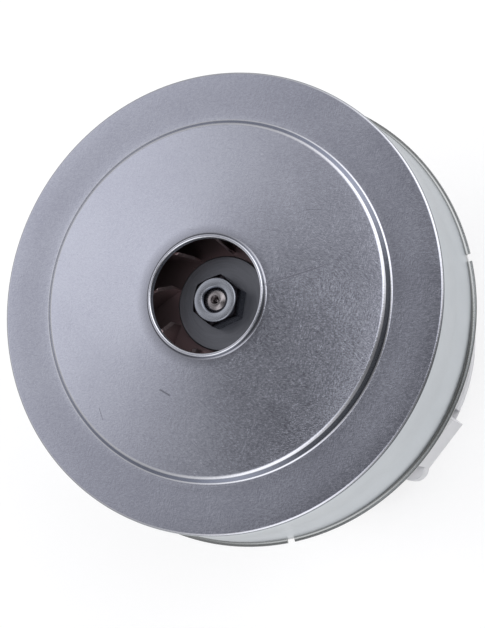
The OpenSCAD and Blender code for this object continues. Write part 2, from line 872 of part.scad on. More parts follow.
module front_bearing_outer() {
    color([0.8, 0.8, 0.82])
        front_bearing_place()
            bearing_outer(front_bearing_r, front_journal_r, front_bearing_w, front_ball_d);
}

module front_bearing_inner() {
    color([0.8, 0.8, 0.82])
        front_bearing_place()
            bearing_inner(front_bearing_r, front_journal_r, front_bearing_w, front_ball_d);
}

module front_bearing_shields() {
    color([0.6, 0.6, 0.62])
        front_bearing_place()
            bearing_shields(front_bearing_r, front_journal_r, front_bearing_w);
}

module front_bearing_balls() {
    color([0.85, 0.85, 0.87])
        front_bearing_place()
            bearing_balls(front_bearing_r, front_journal_r, front_bearing_w, front_ball_d);
}

module front_bearing_cage() {
    color([0.5, 0.45, 0.35])
        front_bearing_place()
            bearing_cage(front_bearing_r, front_journal_r, front_bearing_w, front_ball_d);
}

module rear_bearing_outer() {
    color([0.8, 0.8, 0.82])
        rear_bearing_place()
            bearing_outer(rear_bearing_r, rear_journal_r, rear_bearing_w, rear_ball_d);
}

module rear_bearing_inner() {
    color([0.8, 0.8, 0.82])
        rear_bearing_place()
            bearing_inner(rear_bearing_r, rear_journal_r, rear_bearing_w, rear_ball_d);
}

module rear_bearing_shields() {
    color([0.6, 0.6, 0.62])
        rear_bearing_place()
            bearing_shields(rear_bearing_r, rear_journal_r, rear_bearing_w);
}

module rear_bearing_balls() {
    color([0.85, 0.85, 0.87])
        rear_bearing_place()
            bearing_balls(rear_bearing_r, rear_journal_r, rear_bearing_w, rear_ball_d);
}

module rear_bearing_cage() {
    color([0.5, 0.45, 0.35])
        rear_bearing_place()
            bearing_cage(rear_bearing_r, rear_journal_r, rear_bearing_w, rear_ball_d);
}

module rear_bearing_sleeve() {
    color([0.12, 0.12, 0.12])
    translate([0, 0, rear_floor_t]) {
        difference() {
            cylinder(r = rear_pocket_r, h = sleeve_floor_t + rear_bearing_w);
            translate([0, 0, sleeve_floor_t])
                cylinder(r = rear_bearing_r, h = rear_bearing_w + cut);
            translate([0, 0, -cut])
                cylinder(r = rear_bearing_r - sleeve_t, h = sleeve_floor_t + 2 * cut);
        }
    }
}

// An upright arm from the boss to the ring, seen from the side
module arm(a, tip_h) {
    tip_r = ring_in_r + ring_w / 2;
    tip_z = ring_z + arm_lift;
    rotate([0, 0, a])
        translate([0, arm_w / 2, 0])
            rotate([90, 0, 0])
                linear_extrude(arm_w)
                    polygon([
                        [rear_pocket_r + slip, rear_boss_h],
                        [rear_plate_r, rear_boss_h],
                        [tip_r, tip_z],
                        [tip_r, tip_z + tip_h],
                        [rear_plate_r, rear_boss_h + arm_root_h],
                        [rear_pocket_r + slip, rear_boss_h + arm_root_h / 2]
                    ]);
}

module rear_bracket() {
    shelf_x0 = rear_pocket_r + 2 * boss_wall;
    color([0.9, 0.9, 0.89])
    difference() {
        union() {
            turned([
                [0, 0],
                [rear_boss_r - boss_chamfer, 0],
                [rear_boss_r, boss_chamfer],
                [rear_boss_r, rear_boss_top_z],
                [0, rear_boss_top_z]
            ]);
            translate([0, 0, rear_boss_h]) cylinder(r = rear_plate_r, h = rear_plate_t);
            turned([
                [ring_in_r, ring_z],
                [cage_out_r - ring_taper, ring_z],
                [cage_out_r, ring_z + ring_taper_h],
                [cage_out_r, ring_top_z],
                [ring_in_r, ring_top_z]
            ]);
            for (a = post_angles)
                arm(a, arm_tip_h);
            for (a = [0, 180]) {
                arm(a, shelf_t - arm_lift - apart);
                rotate([0, 0, a])
                    translate([shelf_x0, -shelf_w / 2, holder_z - shelf_t])
                        cube([cage_out_r - shelf_x0 - ring_w / 2, shelf_w, shelf_t]);
            }
        }
        translate([0, 0, rear_floor_t])
            cylinder(r = rear_pocket_r, h = rear_boss_top_z);
        // The ring is open above the shelves, where the brush holders stand
        for (a = [0, 180])
            rotate([0, 0, a])
                translate([ring_in_r - ring_w, -ear_reach - apart, holder_z])
                    cube([2 * ring_w + holder_reach - ring_in_r, ear_reach + apart + shelf_w / 2,
                        ring_h]);
        for (a = post_angles)
            at_polar(post_mid_r, a)
                translate([0, 0, ring_z - cut])
                    cylinder(r = bracket_screw_d / 2, h = ring_h + 2 * cut, $fn = small_fn);
        for (i = [0:vent_count - 1])
            at_polar(vent_ring_r, (i + 0.5) * 360 / vent_count)
                translate([0, 0, rear_boss_h - cut])
                    cylinder(r = vent_r, h = rear_plate_t + 2 * cut, $fn = small_fn);
        holder_screw_places(ring_z - cut)
            cylinder(r = small_screw_d / 2, h = ring_h, $fn = small_fn);
    }
}

module bracket_screws() {
    color([0.7, 0.7, 0.68])
    for (a = post_angles)
        at_polar(post_mid_r, a)
            translate([0, 0, ring_z])
                mirror([0, 0, 1])
                    screw(bracket_screw_d, ring_h + screw_grip - cut);
}

module holder_screw_places(z) {
    for (a = [0, 180])
        rotate([0, 0, a])
            translate([holder_reach - ear_screw_setback, -holder_w / 2 - ear_screw_inset, z])
                children();
}

module brush_holder(b) {
    color([0.88, 0.88, 0.87])
    side(b)
        difference() {
            union() {
                translate([holder_x0, -holder_w / 2, holder_z])
                    cube([holder_reach - holder_x0, holder_w, holder_h]);
                translate([ear_x - ear_l / 2, -holder_w / 2 - ear_screw_inset, holder_z])
                    cube([ear_l / 2, ear_w, ear_h]);
                translate([ear_x, -holder_w / 2 - ear_screw_inset, holder_z])
                    cylinder(r = ear_l / 2, h = ear_h, $fn = small_fn);
            }
            // Channel for the brass guide and the terminal plate, closed at its outer end
            translate([holder_x0 - cut, -guide_out_w / 2, brush_z - guide_out_h / 2])
                cube([terminal_x + tab_t - holder_x0 + cut, guide_out_w, guide_out_h]);
            // Openings that show the guide from above and from both sides
            translate([holder_window_x, -holder_w / 2 - cut, holder_z + holder_h - holder_window_depth])
                cube([holder_window_l, holder_w + 2 * cut, holder_window_depth + cut]);
            // Slot that the terminal is pushed down through
            translate([terminal_x - slot_side_gap, -guide_out_w / 2 - slot_side_gap, brush_z])
                cube([tab_t + slot_side_gap, guide_out_w + 2 * slot_side_gap, holder_h]);
            translate([holder_reach - ear_screw_setback, -holder_w / 2 - ear_screw_inset,
                holder_z - cut])
                cylinder(r = small_screw_d / 2, h = ear_h + 2 * cut, $fn = small_fn);
        }
}

module holder_screws() {
    color([0.7, 0.7, 0.68])
        holder_screw_places(holder_z + ear_h)
            screw(small_screw_d, ear_h + shelf_t);
}

module brush_guide(b) {
    color([0.78, 0.6, 0.28])
    side(b)
        translate([guide_x0, 0, brush_z])
            difference() {
                translate([0, -guide_out_w / 2, -guide_out_h / 2])
                    cube([guide_x1 - guide_x0, guide_out_w, guide_out_h]);
                translate([-cut, -guide_in_w / 2, -guide_in_h / 2])
                    cube([guide_x1 - guide_x0 + 2 * cut, guide_in_w, guide_in_h]);
            }
}

// Plate that closes the guide, with the upright plug terminal of the coil lead
module brush_terminal(b) {
    color([0.78, 0.6, 0.28])
    side(b)
        translate([terminal_x, 0, brush_z]) {
            translate([0, -guide_out_w / 2, -terminal_plate_h / 2])
                cube([tab_t, guide_out_w, terminal_plate_h]);
            translate([0, -tab_w / 2, 0])
                cube([tab_t, tab_w, holder_h / 2 + tab_l]);
        }
}

// Flat plug terminals of the supply, one on each coil former
module supply_terminals() {
    color([0.75, 0.74, 0.7])
    for (b = [false, true])
        side(b)
            translate([-tab_w / 2, former_out_y, former_z0 - former_t - cheek_overhang - tab_l])
                cube([tab_w, tab_t, tab_l + cheek_overhang]);
}

// A round tube swept along points, each ring square to the route
function along(p, i) =
    let (d = p[min(i + 1, len(p) - 1)] - p[max(i - 1, 0)]) d / norm(d);
function ring_points(c, d, r, n, up) =
    let (u = cross(d, up) / norm(cross(d, up)), v = cross(d, u))
    [for (k = [0:n - 1]) c + r * (cos(360 * k / n) * u + sin(360 * k / n) * v)];

module swept(p, r, n, up) {
    m = len(p);
    points = [for (i = [0:m - 1]) each ring_points(p[i], along(p, i), r, n, up)];
    walls = [
        for (i = [0:m - 2], k = [0:n - 1])
            let (a = i * n + k, b = i * n + (k + 1) % n)
            each [[a, a + n, b], [b, a + n, b + n]]
    ];
    first_cap = [for (k = [1:n - 2]) [0, k, k + 1]];
    last_cap = [for (k = [1:n - 2]) [(m - 1) * n, (m - 1) * n + k + 1, (m - 1) * n + k]];
    polyhedron(points = points, faces = concat(walls, first_cap, last_cap));
}

module coil_leads() {
    color([0.85, 0.85, 0.8])
    for (b = [false, true])
        side(b)
            swept(lead_points, lead_d / 2, lead_sides, [0, 0, 1]);
}

// Helix around the brush axis, from the brush's back to the terminal plate
spring_r = (spring_d - spring_wire_d) / 2;
spring_steps = spring_turns * 8;
spring_points = [
    for (i = [0:spring_steps])
        [
            spring_x0 + spring_wire_d / 2
                + (spring_x1 - spring_x0 - spring_wire_d) * i / spring_steps,
            spring_r * cos(360 * i / 8),
            brush_z + spring_r * sin(360 * i / 8)
        ]
];
spring_pitch = (spring_x1 - spring_x0 - spring_wire_d) / spring_turns;

module brush_spring(b) {
    echo(least_gap_between_turns = spring_pitch - spring_wire_d);
    color([0.7, 0.7, 0.72])
    side(b)
        swept(spring_points, spring_wire_d / 2, 6, [1, 0, 0]);
}

module carbon_brush(b) {
    color([0.1, 0.1, 0.11])
    side(b)
        difference() {
            translate([0, -brush_w / 2, brush_z - brush_h / 2])
                cube([brush_x1, brush_w, brush_h]);
            translate([0, 0, brush_z - brush_h])
                cylinder(r = brush_x0, h = 2 * brush_h);
        }
}

module shaft() {
    foot_z = rear_floor_t + shaft_foot_gap;
    tip_chamfer = front_journal_r / 4;
    centre_r = front_journal_r / 4;
    color([0.75, 0.75, 0.77])
        turned([
            [0, foot_z],
            [rear_journal_r - shaft_foot_gap, foot_z],
            [rear_journal_r, foot_z + shaft_foot_gap],
            [rear_journal_r, rear_bearing_z + rear_bearing_w],
            [rear_journal_r + shaft_foot_gap, rear_bearing_z + rear_bearing_w],
            [rear_journal_r + shaft_foot_gap, commutator_z - shaft_step_gap],
            [shaft_r, commutator_z - shaft_step_gap],
            [shaft_r, deck_z],
            [front_journal_r + shaft_foot_gap, deck_z],
            [front_journal_r + shaft_foot_gap, front_bearing_z],
            [front_journal_r, front_bearing_z],
            [front_journal_r, shaft_top_z - tip_chamfer],
            [front_journal_r - tip_chamfer, shaft_top_z],
            [centre_r, shaft_top_z],
            [0, shaft_top_z - 2 * centre_r]
        ]);
}

// Six-sided nut with both ends chamfered
module shaft_nut() {
    corner_r = nut_af / sqrt(3);
    face_r = nut_af / 2 - sheet_t / 2;
    chamfer_h = corner_r - face_r;
    rise = chamfer_h / 2;
    color([0.72, 0.73, 0.75])
    translate([0, 0, nut_z])
        difference() {
            intersection() {
                cylinder(r = corner_r, h = nut_h, $fn = 6);
                turned([
                    [0, 0],
                    [corner_r, 0],
                    [corner_r, nut_h - rise],
                    [face_r, nut_h],
                    [0, nut_h]
                ]);
            }
            translate([0, 0, -cut]) cylinder(r = front_journal_r, h = nut_h + 2 * cut);
        }
}

module front_washer() {
    color([0.4, 0.41, 0.43])
        translate([0, 0, front_washer_z])
            tube(front_washer_d / 2, front_journal_r, front_washer_t);
}

module rear_washer() {
    color([0.7, 0.7, 0.72])
        translate([0, 0, rear_washer_z])
            tube(rear_washer_d / 2, front_journal_r, rear_washer_t);
}

module bearing_spacer() {
    z = front_bearing_z + front_bearing_w;
    color([0.72, 0.72, 0.74])
        translate([0, 0, z]) tube(spacer_d / 2, front_journal_r, rear_washer_z - z);
}

module impeller_back_plate() {
    color([0.75, 0.75, 0.77])
        translate([0, 0, back_plate_z]) tube(impeller_r, front_journal_r, back_plate_t);
}

// Underside of the shroud, from its rim to the top of its eye
function shroud_line() =
    let (
        throat_z = shroud_rim_z + shroud_rise,
        bend = [eye_r + throat_bend_r, throat_z + throat_bend_r]
    )
    concat(
        [[impeller_r, shroud_rim_z]],
        arc(bend, throat_bend_r, 270, 180, 6),
        [[eye_r, throat_z + throat_bend_r + eye_collar_h]]
    );

module impeller_shroud() {
    color([0.75, 0.75, 0.77])
        turned(strip(shroud_line(), shroud_t));
}

// Blades are cut to the shroud's cone, and their roots are bevelled at the eye
module impeller_blades() {
    shroud_inner = shroud_line();
    top_z = shroud_rim_z + shroud_rise + throat_bend_r;
    color([0.74, 0.7, 0.69])
    intersection() {
        for (i = [0:blade_count - 1])
            rotate([0, 0, i * 360 / blade_count])
                translate([0, 0, front_washer_z])
                    linear_extrude(top_z - front_washer_z)
                        polygon(strip(spiral(blade_root_r, impeller_r - blade_t, blade_sweep,
                            blade_steps), blade_t));
        turned(concat(
            [
                [blade_root_r - cut, front_washer_z],
                [impeller_r, front_washer_z],
                [impeller_r, shroud_rim_z]
            ],
            [
                shroud_inner[1],
                [blade_root_r + blade_bevel, shroud_rim_z + shroud_rise - slip],
                [blade_root_r - cut, front_washer_z + front_washer_t]
            ]
        ));
    }
}

// One sheet of the rotor, with its round slots
module rotor_sheet() {
    difference() {
        circle(r = rotor_r);
        circle(r = shaft_r);
        for (i = [0:slot_count - 1])
            rotate([0, 0, i * 360 / slot_count]) {
                translate([slot_ring_r, 0]) circle(r = slot_r, $fn = small_fn);
                translate([slot_ring_r, -slot_mouth_w / 2]) square([rotor_r, slot_mouth_w]);
            }
    }
}

module rotor_core() {
    color([0.42, 0.43, 0.45])
        translate([0, 0, stack_z]) linear_extrude(stack_h) rotor_sheet();
}

module rotor_end_discs() {
    disc_r = slot_ring_r - slot_r - slip;
    color([0.75, 0.62, 0.4])
    for (z = [stack_z - end_disc_t, stack_top_z])
        translate([0, 0, z]) tube(disc_r, shaft_r, end_disc_t);
}

module rotor_slot_wires() {
    wire_r = slot_r - slot_wire_gap;
    wedge_w = slot_mouth_w - 2 * slot_wire_gap;
    color([0.72, 0.4, 0.2])
    for (i = [0:slot_count - 1])
        rotate([0, 0, i * 360 / slot_count])
            translate([0, 0, stack_z]) {
                translate([slot_ring_r, 0, 0]) cylinder(r = wire_r, h = stack_h, $fn = small_fn);
                translate([slot_ring_r, -wedge_w / 2, 0])
                    cube([slot_r + wedge_t, wedge_w, stack_h]);
            }
}

// Rounded bundle of the rotor's winding heads
module winding_head(z, h) {
    bore_r = shaft_r + head_bore_gap;
    round_r = min(head_round_r, h / 2);
    color([0.72, 0.4, 0.2])
    translate([0, 0, z])
        turned(concat(
            [[bore_r, 0], [head_r, 0]],
            arc([head_r - round_r, h - round_r], round_r, 0, 90, 5),
            arc([bore_r + round_r, h - round_r], round_r, 90, 180, 5)
        ));
}

module winding_head_front() {
    winding_head(stack_top_z + end_disc_t, front_head_h - end_disc_t);
}

module winding_head_rear() {
    head_h = rear_head_h - end_disc_t;
    translate([0, 0, 2 * rear_head_z + head_h])
        mirror([0, 0, 1])
            winding_head(rear_head_z, head_h);
}

module commutator_bars() {
    color([0.75, 0.45, 0.25])
    difference() {
        turned([
            [commutator_core_r, commutator_z],
            [commutator_r, commutator_z],
            [commutator_r, riser_z],
            [riser_r, riser_z],
            [riser_r, rear_head_z - slip],
            [commutator_core_r, rear_head_z - slip]
        ]);
        for (i = [0:slot_count - 1])
            rotate([0, 0, (i + 0.5) * 360 / slot_count])
                translate([0, -bar_gap / 2, commutator_z - cut])
                    cube([riser_r + cut, bar_gap, commutator_l + riser_h + 2 * cut]);
    }
}

module commutator_core() {
    collar_h = 1.4;
    color([0.25, 0.13, 0.08])
    turned([
        [shaft_r, commutator_z - collar_h],
        [commutator_core_r + slip, commutator_z - collar_h],
        [commutator_core_r + slip, commutator_z],
        [commutator_core_r, commutator_z],
        [commutator_core_r, rear_head_z],
        [shaft_r, rear_head_z]
    ]);
}

fan_cover();
diffuser();
diffuser_screws();
motor_frame();
stator_core();
stator_screws();
coil_former(false);  // coil_former_a
coil_former(true);  // coil_former_b
field_coil(false);  // field_coil_a
field_coil(true);  // field_coil_b
front_bearing_outer();
front_bearing_shields();
bearing_retainer();
retainer_screws();
rear_bracket();
bracket_screws();
rear_bearing_outer();
rear_bearing_shields();
rear_bearing_sleeve();
brush_holder(false);  // brush_holder_a
brush_holder(true);  // brush_holder_b
brush_guide(false);  // brush_guide_a
brush_guide(true);  // brush_guide_b
brush_terminal(false);  // brush_terminal_a
brush_terminal(true);  // brush_terminal_b
holder_screws();
supply_terminals();
coil_leads();
brush_spring(false);  // brush_spring_a
brush_spring(true);  // brush_spring_b
shaft();
shaft_nut();
front_washer();
rear_washer();
bearing_spacer();
impeller_back_plate();
impeller_blades();
impeller_shroud();
rotor_core();
rotor_end_discs();
rotor_slot_wires();
winding_head_front();
winding_head_rear();
commutator_bars();
commutator_core();
front_bearing_inner();
rear_bearing_inner();
front_bearing_balls();
front_bearing_cage();
rear_bearing_balls();
rear_bearing_cage();
carbon_brush(false);  // carbon_brush_a
carbon_brush(true);  // carbon_brush_b
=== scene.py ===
import bpy
import bmesh
import json
import math
import random
from mathutils import Matrix, Vector


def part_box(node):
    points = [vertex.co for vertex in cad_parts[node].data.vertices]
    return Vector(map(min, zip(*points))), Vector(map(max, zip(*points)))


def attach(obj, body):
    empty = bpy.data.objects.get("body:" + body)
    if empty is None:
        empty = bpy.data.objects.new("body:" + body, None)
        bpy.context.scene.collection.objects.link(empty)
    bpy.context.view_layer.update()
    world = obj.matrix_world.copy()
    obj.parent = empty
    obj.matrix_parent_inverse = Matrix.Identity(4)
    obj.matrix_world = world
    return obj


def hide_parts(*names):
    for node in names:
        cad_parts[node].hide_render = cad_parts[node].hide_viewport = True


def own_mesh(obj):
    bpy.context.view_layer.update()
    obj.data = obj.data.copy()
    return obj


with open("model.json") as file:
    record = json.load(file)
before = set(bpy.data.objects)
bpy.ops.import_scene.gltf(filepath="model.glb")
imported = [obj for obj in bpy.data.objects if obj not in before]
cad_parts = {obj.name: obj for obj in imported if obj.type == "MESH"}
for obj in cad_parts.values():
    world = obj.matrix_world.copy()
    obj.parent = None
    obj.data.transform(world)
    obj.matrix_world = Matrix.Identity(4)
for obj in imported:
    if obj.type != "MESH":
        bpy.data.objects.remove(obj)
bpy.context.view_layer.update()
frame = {"nodes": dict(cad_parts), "record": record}
mm = 0.001


# Camera at the photograph's viewing angle, looking down on the cover's face

camera = {
    "place": (0.15787, 0.03749, 0.47853),
    "right": (0.72563, 0.59163, -0.35133),
    "up": (-0.57782, 0.80117, 0.15574),
    "focalPixels": 1448.0,
    "imageHeight": 628.0,
    "sensorWidth": 36.0,
    "clip": (0.01, 20),
}


def linked(name, data):
    made = bpy.data.objects.new(name, data)
    bpy.context.scene.collection.objects.link(made)
    return made


def setCamera(c):
    data = bpy.data.cameras.new("photoCamera")
    data.sensor_fit = "AUTO"
    data.sensor_width = c["sensorWidth"]
    data.lens = c["focalPixels"] / c["imageHeight"] * c["sensorWidth"]
    data.clip_start, data.clip_end = c["clip"]
    right, up = Vector(c["right"]).normalized(), Vector(c["up"]).normalized()
    back = right.cross(up).normalized()
    view = Matrix((right, back.cross(right), back)).transposed().to_4x4()
    view.translation = c["place"]
    eye = linked("photoCamera", data)
    eye.matrix_world = view
    bpy.context.scene.camera = eye


setCamera(camera)
imageRight = Vector(camera["right"]).xy.normalized()  # the picture's right and up, laid flat
imageUp = Vector((-imageRight.y, imageRight.x))


# Shader maths written as plain expressions

def feed(tree, given, socket):
    if isinstance(given, Value):
        tree.links.new(given.socket, socket)
    else:
        socket.default_value = given


class Value:
    def __init__(self, tree, socket):
        self.tree = tree
        self.socket = socket

    def maths(self, operation, *inputs):
        step = self.tree.nodes.new("ShaderNodeMath")
        step.operation = operation
        for k, given in enumerate(inputs):
            feed(self.tree, given, step.inputs[k])
        return Value(self.tree, step.outputs[0])

    def __add__(self, other):
        return self.maths("ADD", self, other)

    def __radd__(self, other):
        return self.maths("ADD", other, self)

    def __sub__(self, other):
        return self.maths("SUBTRACT", self, other)

    def __rsub__(self, other):
        return self.maths("SUBTRACT", other, self)

    def __mul__(self, other):
        return self.maths("MULTIPLY", self, other)

    def __rmul__(self, other):
        return self.maths("MULTIPLY", other, self)

    def __truediv__(self, other):
        return self.maths("DIVIDE", self, other)

    def most(self, other):
        return self.maths("MAXIMUM", self, other)

    def limited(self, low=0.0, high=1.0):
        return self.maths("MINIMUM", self.most(low), high)

    def root(self):
        return self.maths("SQRT", self)

    def size(self):
        return self.maths("ABSOLUTE", self)

    def fraction(self):
        return self.maths("FRACT", self)

    def turnFrom(self, other):
        return self.maths("ARCTAN2", self, other)

    def above(self, edge, soft):
        # 0 below an edge and 1 above it, changing over a soft width
        return ((self - edge) / soft + 0.5).limited()

    def swing(self, share):
        # how far a noise is from its middle
        return (self - 0.5) * share


def reach(x, y):
    return (x * x + y * y).root()


class Bench:
    # One material's node tree, with one method that adds any node that isn't maths
    def __init__(self, tree):
        self.tree = tree

    def node(self, kind, settings=None, out=0, **given):
        made = self.tree.nodes.new(kind)
        for name, value in (settings or {}).items():
            if name == "stops":
                band = made.color_ramp.elements
                while len(band) < len(value):
                    band.new(0.5)
                for stop, (place, shade) in zip(band, value):
                    stop.position = place
                    stop.color = (shade, shade, shade, 1)
            else:
                setattr(made, name, value)
        for name, value in given.items():
            place = int(name[1:]) if name[0] == "i" and name[1:].isdigit() else name.replace("_", " ")
            feed(self.tree, value, made.inputs[place])
        return Value(self.tree, made.outputs[out])

    def place(self):
        return self.node("ShaderNodeTexCoord", out="Object")

    def upright(self):
        # how far a surface faces up: 1 on top, 0 on a wall, -1 underneath
        return self.parts(self.node("ShaderNodeTexCoord", out="Normal"))[2]

    def rays(self, *kinds):
        made = self.tree.nodes.new("ShaderNodeLightPath")
        return [Value(self.tree, made.outputs[f"Is {kind} Ray"]) for kind in kinds]

    def parts(self, vector):
        made = self.tree.nodes.new("ShaderNodeSeparateXYZ")
        self.tree.links.new(vector.socket, made.inputs[0])
        return [Value(self.tree, made.outputs[k]) for k in range(3)]

    def joined(self, x, y, z):
        return self.node("ShaderNodeCombineXYZ", i0=x, i1=y, i2=z)

    def noise(self, vector, scale, detail=2.0, rough=0.5):
        return self.node("ShaderNodeTexNoise", Vector=vector, Scale=scale, Detail=detail, Roughness=rough)

    def mix(self, share, a, b):
        return self.node("ShaderNodeMix", {"data_type": "RGBA"}, out=2, i0=share,
                         i6=a if isinstance(a, Value) else (*a, 1), i7=b if isinstance(b, Value) else (*b, 1))

    def scaled(self, vector, factors):
        return self.node("ShaderNodeVectorMath", {"operation": "MULTIPLY"}, i0=vector, i1=factors)

    def turned(self, vector, angles):
        return self.node("ShaderNodeMapping", {"vector_type": "POINT"}, Vector=vector, Rotation=angles)


# Finishes

def newFinish(name, **uniform):
    made = bpy.data.materials.new(name)
    made.use_nodes = True
    tree = made.node_tree
    tree.nodes.clear()
    skin = tree.nodes.new("ShaderNodeBsdfPrincipled")
    end = tree.nodes.new("ShaderNodeOutputMaterial")
    tree.links.new(skin.outputs[0], end.inputs[0])
    for socket, value in uniform.items():
        skin.inputs[socket.replace("_", " ")].default_value = value
    return made, Bench(tree), skin


def wear(bench, skin, colour, roughness, bumps, depth, strength=0.5):
    raised = bench.node("ShaderNodeBump", Height=bumps, Distance=depth, Strength=strength)
    for name, value in (("Base Color", colour), ("Roughness", roughness), ("Normal", raised)):
        bench.tree.links.new(value.socket, skin.inputs[name])


# The cover's zinc. A pair such as facing is the edge and the softness of a change
zincSheet = {
    "face": (0.62, 0.635, 0.715), "faceDull": (0.50, 0.51, 0.59),
    "wall": (0.64, 0.675, 0.71), "wallDull": (0.565, 0.60, 0.63),
    "facing": (0.75, 0.3), "wallTo": (0.35, 0.2),
    # strokes as their number per metre along and across, their turn about the axis, then the noise's detail and
    # roughness, and how strongly they show
    "strokes": (1 / (1.3 * mm), 1 / (0.34 * mm)), "strokeTurns": (0.0, 1.15), "strokeShow": 1.7,
    "fineStrokes": (1100, 3000, -0.75, 1.0, 0.6), "fineShow": 1.5,
    "hairlines": (90, 3400, -0.5, 0.0, 0.5), "hairFrom": (0.8, 0.06), "hairShow": 0.12,
    "patchSize": 22 * mm, "patchShow": 1.2, "smearSize": 7 * mm, "smearFrom": (0.5, 0.25),
    # marks on the wall: how close round it and up it, a shift, detail and roughness of the noise
    "wallMarks": [(60, 160, 0, 3.0, 0.6), (9, 120, 4, 2.0, 0.5)], "wallShow": (0.7, 0.8), "wallMiddle": 0.62,
    # the edge colour is a painted highlight on surfaces that lean part way between face and wall, such as the fillets
    # and the lip's crest
    "edge": (0.86, 0.86, 0.89), "edgeFrom": (0.68, 0.16), "edgeTo": (0.965, 0.04), "edgeShare": 0.8,
    # a painted shade in a ring just outside the inlet lip, its centre moved to one side
    "halo": (0.31, 0.315, 0.36), "haloFrom": 17.05 * mm, "haloTo": 20.2 * mm, "haloShift": 0.8 * mm, "haloShare": 0.9,
    # the crevice colour is painted shade where the blend around the lip runs steep
    "crevice": (0.10, 0.10, 0.125), "creviceTo": (0.88, 0.14), "creviceShare": 0.65,
    # the ramp colour is painted shade on the sloping wall of the step around the raised disc
    "ramp": (0.19, 0.195, 0.27), "rampTo": (0.64, 0.1), "rampBand": (40 * mm, 55 * mm), "rampShare": 0.45,
    # outside the raised disc the face takes a little of the same painted shade
    "outerFrom": 52 * mm, "outerShare": 0.12,
    # the rim colour is painted shade on the flange
    "rim": (0.42, 0.43, 0.42), "rimR": 66.25 * mm, "line": 0.2 * mm,
    # single scratches on the raised disc, from and to, with their width
    "scratches": [((12.4, 12.7), (21.8, 25.8), 0.6), ((5.4, -28.2), (8.4, -27.7), 0.4),
                  ((-4.0, -45.5), (-7.0, -43.6), 0.1), ((8.0, 35.0), (11.5, 37.4), 0.1)],
    "scratch": (0.16, 0.16, 0.19), "scratchShow": 0.85, "scratchDeep": 0.3,
    "faceGrain": 0.6, "wallGrain": 0.5,
    "roughness": 0.18, "wallRougher": 0.16, "grainRougher": 0.3, "patchRougher": 0.12, "scratchRougher": 0.2,
    "smoothest": 0.12, "roughest": 0.7, "bump": 0.04 * mm, "bumpStrength": 0.75,
}


def lineMark(x, y, start, end, width):
    # 1 on a thin straight mark between two points, fading at its sides
    a, b = Vector(start) * mm, Vector(end) * mm
    along = b - a
    share = (((x - a.x) * along.x + (y - a.y) * along.y) / along.length_squared).limited()
    away = reach(x - a.x - share * along.x, y - a.y - share * along.y)
    return 1 - (away / (width * mm)).limited()


def makeZincSheet(s):
    made, bench, skin = newFinish("zincSheet", Metallic=1.0)
    place = bench.place()
    x, y, z = bench.parts(place)
    around, radius = y.turnFrom(x), reach(x, y)
    upright = bench.upright().size()
    facing = upright.above(*s["facing"])

    def stroked(along, across, turn, detail=2.0, rough=0.6):
        laid = bench.turned(place, (0, 0, turn))
        return bench.noise(bench.scaled(laid, (along, across, across)), 1.0, detail, rough)

    layers = [stroked(*s["strokes"], turn) for turn in s["strokeTurns"]]
    choice = bench.noise(place, 1 / s["smearSize"], 1.0).above(*s["smearFrom"])
    strokes = layers[0] * choice + layers[1] * (1 - choice)
    fine = stroked(*s["fineStrokes"])
    hairlines = stroked(*s["hairlines"]).above(*s["hairFrom"])
    region = bench.noise(place, 1 / s["patchSize"])
    drawn, smears = (bench.noise(bench.joined(around * turns, z * rises, shift), 1.0, detail, rough)
                     for turns, rises, shift, detail, rough in s["wallMarks"])
    marks = lineMark(x, y, *s["scratches"][0])
    for scratch in s["scratches"][1:]:
        marks = marks.most(lineMark(x, y, *scratch))
    marks = marks * facing

    face = 0.5 + strokes.swing(s["strokeShow"]) + fine.swing(s["fineShow"]) + region.swing(s["patchShow"])
    wall = s["wallMiddle"] + drawn.swing(s["wallShow"][0]) + smears.swing(s["wallShow"][1])
    shade = bench.mix(facing, bench.mix(wall.limited(), s["wallDull"], s["wall"]),
                      bench.mix(face.limited(), s["faceDull"], s["face"]))
    # painted highlight on the leaning surfaces of the fillets and the lip
    paintedHighlight = upright.above(*s["edgeFrom"]) * (1 - upright.above(*s["edgeTo"]))
    # painted shade in a ring around the inlet lip, off-centre towards the left of the view
    middle, wide = (s["haloFrom"] + s["haloTo"]) / 2, s["haloTo"] - s["haloFrom"]
    shifted = reach(x + imageRight.x * s["haloShift"], y + imageRight.y * s["haloShift"])
    halo = radius.above(s["haloFrom"], s["line"]) * (1 - shifted.above(middle, wide))
    # painted shade in the steep part of the blend around the lip
    crevice = halo * (1 - upright.above(*s["creviceTo"]))
    # painted shade on the sloping wall of the step around the raised disc
    rampIn, rampOut = s["rampBand"]
    ramp = (1 - upright.above(*s["rampTo"])) * radius.above(rampIn, mm) * (1 - radius.above(rampOut, mm))
    # painted shade: the face outside the raised disc is a little darker
    outer = radius.above(s["outerFrom"], mm) * facing * s["outerShare"]
    scratched = (hairlines * s["hairShow"] + marks * s["scratchShow"]).limited()
    # the flange past rimR takes the rim colour as painted shade
    for share, colour in ((paintedHighlight * s["edgeShare"], "edge"), (halo * s["haloShare"], "halo"),
                          (crevice * s["creviceShare"], "crevice"), (ramp * s["rampShare"] + outer, "ramp"),
                          (radius.above(s["rimR"], s["line"]), "rim"), (scratched, "scratch")):
        shade = bench.mix(share, shade, s[colour])

    grain = (strokes * s["faceGrain"] + fine * s["faceGrain"] - s["faceGrain"]) * facing
    grain = grain + (drawn - 0.5) * (1 - facing) * s["wallGrain"]
    rough = s["roughness"] + grain * s["grainRougher"] + region.swing(s["patchRougher"]) + marks * s["scratchRougher"]
    rough = rough + (1 - upright.above(*s["wallTo"])) * s["wallRougher"]
    wear(bench, skin, shade, rough.limited(s["smoothest"], s["roughest"]), grain - marks * s["scratchDeep"],
         s["bump"], s["bumpStrength"])
    return made


